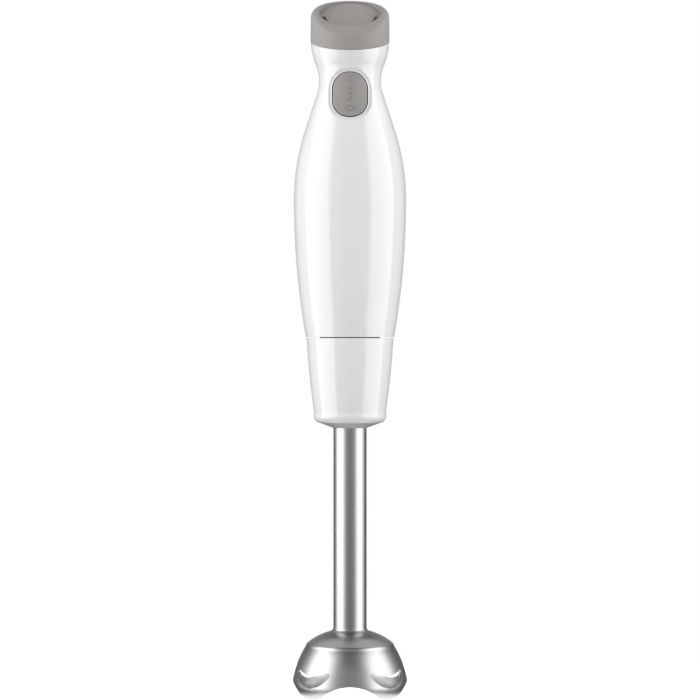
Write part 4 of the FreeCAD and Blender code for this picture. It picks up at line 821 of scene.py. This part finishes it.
class Look:
    """A material whose nodes read the piece's own coordinates, with a few helpers to wire them up."""

    def __init__(self, name, colour, roughness, metallic=0.0, specular=0.5):
        self.material = bpy.data.materials.new(name)
        self.material.use_nodes = True
        self.nodes, self.links = self.material.node_tree.nodes, self.material.node_tree.links
        self.shader = self.nodes["Principled BSDF"]
        self.colour = (*colour, 1.0)
        self.set("Base Color", self.colour)
        self.set("Roughness", roughness)
        self.set("Metallic", metallic)
        self.set("Specular IOR Level", specular)
        self.place = self.nodes.new("ShaderNodeTexCoord").outputs["Object"]
        self.height = None

    def set(self, socket, value):
        self.shader.inputs[socket].default_value = value

    def math(self, operation, *values):
        node = self.nodes.new("ShaderNodeMath")
        node.operation = operation
        for socket, value in zip(node.inputs, values):
            self.feed(socket, value)
        return node.outputs[0]

    def feed(self, socket, value):
        if isinstance(value, bpy.types.NodeSocket):
            self.links.new(value, socket)
        else:
            socket.default_value = value

    def stretched(self, x, y, z):
        node = self.nodes.new("ShaderNodeMapping")
        node.inputs["Scale"].default_value = (x, y, z)
        self.links.new(self.place, node.inputs["Vector"])
        return node.outputs[0]

    def noise(self, vector, scale, detail=3.0, rough=0.5):
        node = self.nodes.new("ShaderNodeTexNoise")
        self.links.new(vector, node.inputs["Vector"])
        node.inputs["Scale"].default_value = scale
        node.inputs["Detail"].default_value = detail
        node.inputs["Roughness"].default_value = rough
        return node.outputs["Fac"]

    def spots(self, vector, scale):
        node = self.nodes.new("ShaderNodeTexVoronoi")
        self.links.new(vector, node.inputs["Vector"])
        node.inputs["Scale"].default_value = scale
        return node.outputs["Distance"]

    def between(self, value, low_value, high_value):
        """Spreads a 0 to 1 value between two others."""
        node = self.nodes.new("ShaderNodeMapRange")
        self.links.new(value, node.inputs["Value"])
        node.inputs["From Min"].default_value, node.inputs["From Max"].default_value = 0.25, 0.75
        node.inputs["To Min"].default_value, node.inputs["To Max"].default_value = low_value, high_value
        return node.outputs["Result"]

    def blend(self, value, first, second):
        """A colour between two, by a value."""
        node = self.nodes.new("ShaderNodeMix")
        node.data_type = "RGBA"
        self.feed(node.inputs["Factor"], value)
        for socket, colour in ((node.inputs[6], first), (node.inputs[7], second)):
            self.feed(socket, colour)
        return node.outputs[2]

    def shade(self, amount):
        return tuple(min(channel * amount, 1.0) for channel in self.colour[:3]) + (1.0,)

    def tones(self, value, dark, light):
        """The look's own colour, from darker to lighter by a value."""
        return self.blend(self.between(value, 0.0, 1.0), self.shade(dark), self.shade(light))

    def paint(self, socket, output):
        self.links.new(output, self.shader.inputs[socket])

    def bump(self, height, distance, strength=1.0):
        node = self.nodes.new("ShaderNodeBump")
        node.inputs["Strength"].default_value = strength
        node.inputs["Distance"].default_value = distance
        self.links.new(height, node.inputs["Height"])
        if self.height is not None:
            self.links.new(self.height, node.inputs["Normal"])
        self.height = node.outputs["Normal"]
        self.links.new(self.height, self.shader.inputs["Normal"])


def moulded(name, colour, roughness, grain, depth, specular=0.5, variation=0.03):
    """Moulded plastic: a fine grain, and a faint cloudiness of colour and gloss."""
    look = Look(name, colour, roughness, specular=specular)
    cloud = look.noise(look.place, 55.0, 4.0)
    fine = look.noise(look.place, grain, 2.0, 0.6)
    look.paint("Base Color", look.tones(cloud, 1 - variation, 1 + variation))
    look.paint("Roughness", look.math("ADD", look.between(cloud, roughness * 0.86, roughness * 1.1),
                                      look.math("MULTIPLY", fine, roughness * 0.08)))
    look.bump(fine, depth)
    return look


def gloss_plastic(name, colour):
    """Polished ABS: a slow waviness of the tool's polish, a little orange peel, and a clear gloss."""
    look = Look(name, colour, 0.16, specular=0.5)
    slow = look.noise(look.place, 28.0, 2.0)
    peel = look.noise(look.place, 900.0, 1.5)
    handled = look.noise(look.stretched(1.0, 1.0, 0.45), 130.0, 5.0, 0.62)
    look.paint("Base Color", look.tones(slow, 0.985, 1.01))
    look.paint("Roughness", look.between(handled, 0.13, 0.20))
    look.bump(slow, 0.03 * MM, 0.35)
    look.bump(peel, 0.004 * MM, 0.3)
    look.set("Coat Weight", 0.35)
    look.set("Coat Roughness", 0.06)
    return look


BRUSH_ACROSS, BRUSH_DEPTH = 14.0, 0.0042 * MM


def brushed(name, colour, roughness, lines=9000.0, anisotropy=0.6):
    """Brushed or turned steel: fine lines round the Z axis, with longer streaks, and a few faint scuffs."""
    look = Look(name, colour, roughness, metallic=1.0)
    parts = look.nodes.new("ShaderNodeSeparateXYZ")
    look.links.new(look.place, parts.inputs[0])
    x, y, z = parts.outputs
    radius = look.math("SQRT", look.math("ADD", look.math("MULTIPLY", x, x), look.math("MULTIPLY", y, y)))
    along = look.math("SUBTRACT", z, radius)
    join = look.nodes.new("ShaderNodeCombineXYZ")
    for socket, side in zip(join.inputs, (x, y)):
        look.links.new(look.math("MULTIPLY", side, BRUSH_ACROSS), socket)
    look.links.new(look.math("MULTIPLY", along, lines), join.inputs[2])
    fine = look.noise(join.outputs[0], 1.0, 3.0, 0.65)
    coarse = look.noise(join.outputs[0], 0.22, 2.0)
    cloud = look.noise(look.place, 70.0, 4.0)
    scuff = look.noise(look.stretched(1.0, 1.0, 3.0), 420.0, 6.0, 0.7)
    mixed = look.math("ADD", look.math("MULTIPLY", fine, 0.6), look.math("MULTIPLY", coarse, 0.4))
    look.paint("Base Color", look.tones(mixed, 0.9, 1.08))
    rough = look.math("ADD", look.between(mixed, roughness * 0.88, roughness * 1.06),
                      look.math("MULTIPLY", look.between(scuff, 0.0, 1.0), roughness * 0.04))
    look.paint("Roughness", look.math("ADD", rough, look.math("MULTIPLY", cloud, roughness * 0.05)))
    look.set("Anisotropic", anisotropy)
    tangent = look.nodes.new("ShaderNodeTangent")
    tangent.direction_type, tangent.axis = "RADIAL", "Z"
    look.links.new(tangent.outputs[0], look.shader.inputs["Tangent"])
    look.bump(mixed, BRUSH_DEPTH, 0.6)
    return look


def rubber(name, colour):
    look = moulded(name, colour, 0.62, 2600.0, 0.02 * MM, specular=0.35, variation=0.2)
    dust = look.noise(look.place, 300.0, 6.0, 0.75)
    look.paint("Base Color", look.blend(look.between(dust, 0.0, 0.35), look.colour, (0.12, 0.12, 0.12, 1.0)))
    return look


WAVE_LENGTH = 0.314159  # metres between the bands of a wave texture of scale 1


def banded(name, colour, roughness, spacing, dark=0.35):
    """Thin layers or turns of wire that show as level lines, at a spacing."""
    look = Look(name, colour, roughness, metallic=1.0)
    wave = look.nodes.new("ShaderNodeTexWave")
    wave.wave_type, wave.bands_direction, wave.wave_profile = "BANDS", "Z", "SIN"
    wave.inputs["Scale"].default_value = WAVE_LENGTH / spacing
    wave.inputs["Distortion"].default_value = 0.25
    wave.inputs["Detail Scale"].default_value = 3.0
    look.links.new(look.place, wave.inputs["Vector"])
    lines = wave.outputs["Fac"]
    stain = look.noise(look.place, 240.0, 5.0, 0.6)
    tone = look.tones(stain, 0.82, 1.12)
    look.paint("Base Color", look.blend(look.math("POWER", lines, 0.5), look.shade(dark), tone))
    look.paint("Roughness", look.between(stain, roughness * 0.8, roughness * 1.25))
    look.bump(lines, 0.04 * MM, 0.8)
    return look


def speckled(name, colour, roughness, metallic, scale, second):
    """Sintered or sooty matter: small grains of two tones."""
    look = Look(name, colour, roughness, metallic=metallic)
    grains = look.spots(look.place, scale)
    cloud = look.noise(look.place, 320.0, 5.0, 0.6)
    tone = look.tones(cloud, 0.8, 1.15)
    look.paint("Base Color", look.blend(look.math("LESS_THAN", grains, 0.28), tone, second))
    look.paint("Roughness", look.between(cloud, roughness * 0.8, roughness * 1.2))
    look.bump(grains, 0.02 * MM, 0.5)
    return look


def circuit(name, colour):
    """A coated board: copper lines that show through the lacquer in a grid of cells."""
    look = Look(name, colour, 0.34)
    cells = look.nodes.new("ShaderNodeTexBrick")
    upright = look.nodes.new("ShaderNodeMapping")
    upright.inputs["Rotation"].default_value = (math.radians(90), 0.0, 0.0)
    look.links.new(look.place, upright.inputs["Vector"])
    look.links.new(upright.outputs[0], cells.inputs["Vector"])
    cells.inputs["Scale"].default_value = 220.0
    cells.inputs["Mortar Size"].default_value = 0.045
    weave = look.noise(look.place, 3200.0, 2.0)
    base = look.tones(weave, 0.85, 1.15)
    look.paint("Base Color", look.blend(cells.outputs["Fac"], base, (0.10, 0.42, 0.2, 1.0)))
    look.paint("Roughness", look.between(weave, 0.28, 0.42))
    look.bump(cells.outputs["Fac"], 0.03 * MM)
    return look


# Colours set under this script's light: three in place of the record's, and two that it doesn't have.
OWN_COLOURS = {
    "white_housing": (0.84, 0.84, 0.84),
    "grey_cap": (0.345, 0.330, 0.318),
    "grey_button": (0.325, 0.312, 0.303),
    # Near black on the button's sides: painted shade, so that the gap round the button reads dark.
    "button_side": (0.030, 0.029, 0.028),
    # A darker grey on the raised marks: painted shade, as recessed marks would hold.
    "button_marks": (0.235, 0.226, 0.220),
}


def make_looks():
    """A look for each slot of the record, and one each for the button's side, painted near black as shade,
    and for its marks, painted a darker grey as shade.
    """
    colours = {entry["slot"]: entry["base_color"] for entry in frame["record"]["materials"]}
    colours.update(OWN_COLOURS)
    made = {}

    def add(make, name, *values, **named):
        made[name] = make(name, colours[name], *values, **named)

    add(gloss_plastic, "white_housing")
    add(moulded, "grey_cap", 0.5, 1500.0, 0.012 * MM, 0.25)
    add(moulded, "grey_button", 0.5, 1900.0, 0.016 * MM, 0.4)
    add(moulded, "button_side", 0.6, 1900.0, 0.016 * MM, 0.3)
    add(moulded, "button_marks", 0.45, 1900.0, 0.016 * MM, 0.4)
    add(brushed, "brushed_steel", 0.33)
    add(brushed, "blade_steel", 0.22, 5200.0)
    add(brushed, "shaft_steel", 0.26, 7000.0)
    add(brushed, "fastener_steel", 0.36, 3000.0, anisotropy=0.2)
    add(brushed, "spring_steel", 0.28, 4000.0, anisotropy=0.2)
    add(brushed, "bearing_steel", 0.14, 9000.0)
    add(speckled, "bush_bronze", 0.44, 1.0, 3400.0, (0.34, 0.22, 0.1, 1.0))
    add(banded, "copper", 0.3, 0.34 * MM)
    add(brushed, "commutator_copper", 0.24, 5000.0)
    add(banded, "laminations", 0.42, 0.5 * MM, dark=0.45)
    add(rubber, "black_rubber")
    add(moulded, "inner_plastic", 0.42, 1100.0, 0.012 * MM)
    add(speckled, "black_plastic", 0.46, 0.0, 2600.0, (0.11, 0.11, 0.115, 1.0))
    add(moulded, "drive_plastic", 0.36, 900.0, 0.01 * MM, variation=0.05)
    add(circuit, "board")
    add(speckled, "carbon", 0.5, 0.2, 5200.0, (0.12, 0.12, 0.12, 1.0))
    return made


# ---------------- assembly

# Faces of the pad that face less forward than this take the near black painted shade.
BUTTON_PAINTED_SHADE_TURN = -0.3
SCREWS = [
    ("upper", 0.0, UPPER_SCREW_Z, UPPER_SCREW_SEAT),
    ("left", -LOWER_SCREW_X, LOWER_SCREW_Z, LOWER_SCREW_SEAT),
    ("right", LOWER_SCREW_X, LOWER_SCREW_Z, LOWER_SCREW_SEAT),
]
looks = make_looks()
for part in frame["record"]["subparts"]:
    mesh = frame["nodes"][part["node"]].data
    mesh.materials.clear()
    mesh.materials.append(looks[part["material_slot"]].material)


def put(piece, body, slot, *nodes):
    return place(piece, body, slot, looks[slot].material, *nodes)


put(front_shell(), "motor_unit", "white_housing", "front_housing")
put(rear_shell(), "motor_unit", "white_housing", "rear_housing")
for screw, *where in SCREWS:
    put(screw_sleeve(f"{screw}_screw_sleeve", *where), "motor_unit", "white_housing")
put(cap_shell(), "motor_unit", "grey_cap", "top_cap")
put(cap_panel(), "motor_unit", "grey_cap", "cap_insert")
pad = put(button_pad(), "button", "grey_button", "button")
# All of the pad but its front face, that is its sides and its flange, takes the near black painted shade.
pad.data.materials.append(looks["button_side"].material)
for face in pad.data.polygons:
    if face.normal.y > BUTTON_PAINTED_SHADE_TURN:
        face.material_index = 1
# The raised marks take the darker grey that is painted shade.
place(button_marks(), "button", "grey_button", looks["button_marks"].material)
spring = put(press_spring(), "motor_unit", "spring_steel", "button_spring")
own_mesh(spring)
put(collar_shell(), "foot", "white_housing", "foot_collar")
put(steel_tube(), "foot", "brushed_steel", "shaft_tube")
put(blade_guard(), "foot", "brushed_steel", "blade_guard")


# ---------------- studio

# The floor lies just below the lowest place that the foot slides to when it is pulled off.
FLOOR_DROP, FLOOR_STEP = 61.0 * MM, 0.5 * MM
FLOOR_GLOW = 0.66
FLOOR_REACH, BASE_REACH = 0.6, 0.15
WORLD_LEVEL = 0.37

# Each light's name, bearing in degrees, distance, width, height, height of its middle, and power.
SOFTBOXES = [
    ("left_softbox", -72.0, 1.1, 1.25, 1.5, 0.5, 14.5),
    ("right_softbox", 71.0, 1.1, 1.2, 1.5, 0.5, 12.5),
    ("front_fill", 0.0, 2.4, 2.6, 2.2, 0.6, 4.0),
    ("back_fill", 180.0, 2.4, 2.0, 2.2, 0.6, 4.0),
]
UPPER_FILLS = [
    ("upper_left_fill", -122.0, 0.75, 1.1, 1.1, 1.15, 2.4),
    ("upper_right_fill", 122.0, 0.75, 1.1, 1.1, 1.15, 2.4),
]
UPPER_TURN = math.radians(36)
CAMERA_DISTANCE, CAMERA_HEIGHT = 1.38, 0.1964
CAMERA_LENS, CAMERA_SENSOR, CAMERA_SHIFT = 128.6, 36.0, -0.0171


def studio_floor(name, reach, drop):
    """A plain pale floor under the object, as white as the background."""
    spots = [-reach, 0.0, reach]
    bm = bmesh.new()
    add_grid(bm, [[(x, y, -drop) for x in spots] for y in spots])
    floor = finish_mesh(bm, name)
    look = Look(name, (0.9, 0.9, 0.9), 0.85, specular=0.1)
    tooth = look.noise(look.place, 180.0, 3.0)
    look.paint("Base Color", look.tones(tooth, 0.995, 1.005))
    look.set("Emission Color", (1.0, 1.0, 1.0, 1.0))
    look.set("Emission Strength", FLOOR_GLOW)
    floor.data.materials.append(look.material)
    floor.visible_diffuse = False
    return floor


def softbox(name, bearing, distance, width, tall, middle, power):
    """A flat soft light that faces the object's axis. Bearing 0 is the front and 90 is the object's right."""
    data = bpy.data.lights.new(name, "AREA")
    data.shape, data.size, data.size_y = "RECTANGLE", width, tall
    data.energy = power
    light = bpy.data.objects.new(name, data)
    bpy.context.scene.collection.objects.link(light)
    turn = math.radians(bearing)
    light.location = (distance * math.sin(turn), -distance * math.cos(turn), middle)
    light.rotation_euler = (math.radians(90), 0, turn)
    light.visible_camera = False
    return light


def studio():
    """The lights, the camera and the background, which is white to the camera and dimmer as light."""
    scene = bpy.context.scene
    world = bpy.data.worlds.new("studio_world")
    scene.world = world
    world.use_nodes = True
    nodes, links = world.node_tree.nodes, world.node_tree.links
    seen, lit = nodes["Background"], nodes.new("ShaderNodeBackground")
    for background, level in ((seen, 1.0), (lit, WORLD_LEVEL)):
        background.inputs["Strength"].default_value = level
        background.inputs["Color"].default_value = (1.0, 1.0, 1.0, 1.0)
    path, mix = nodes.new("ShaderNodeLightPath"), nodes.new("ShaderNodeMixShader")
    links.new(path.outputs["Is Camera Ray"], mix.inputs[0])
    links.new(lit.outputs[0], mix.inputs[1])
    links.new(seen.outputs[0], mix.inputs[2])
    links.new(mix.outputs[0], nodes["World Output"].inputs["Surface"])
    world.cycles_visibility.glossy = False
    for values in SOFTBOXES:
        softbox(*values)
    for values in UPPER_FILLS:
        softbox(*values).rotation_euler[0] = UPPER_TURN
    scene.view_settings.view_transform = "Standard"
    camera = bpy.data.objects.new("camera", bpy.data.cameras.new("camera"))
    scene.collection.objects.link(camera)
    camera.location = (0.0, -CAMERA_DISTANCE, CAMERA_HEIGHT)
    camera.rotation_euler = (math.radians(90), 0, 0)
    camera.data.lens, camera.data.sensor_width = CAMERA_LENS, CAMERA_SENSOR
    camera.data.shift_y = CAMERA_SHIFT
    camera.data.clip_start, camera.data.clip_end = 0.01, 100.0
    scene.camera = camera


# The wide floor stays out of reflections. The small base just above it is what the steel reflects.
studio_floor("studio_floor", FLOOR_REACH, FLOOR_DROP + FLOOR_STEP).visible_glossy = False
studio_floor("studio_base", BASE_REACH, FLOOR_DROP)
studio()
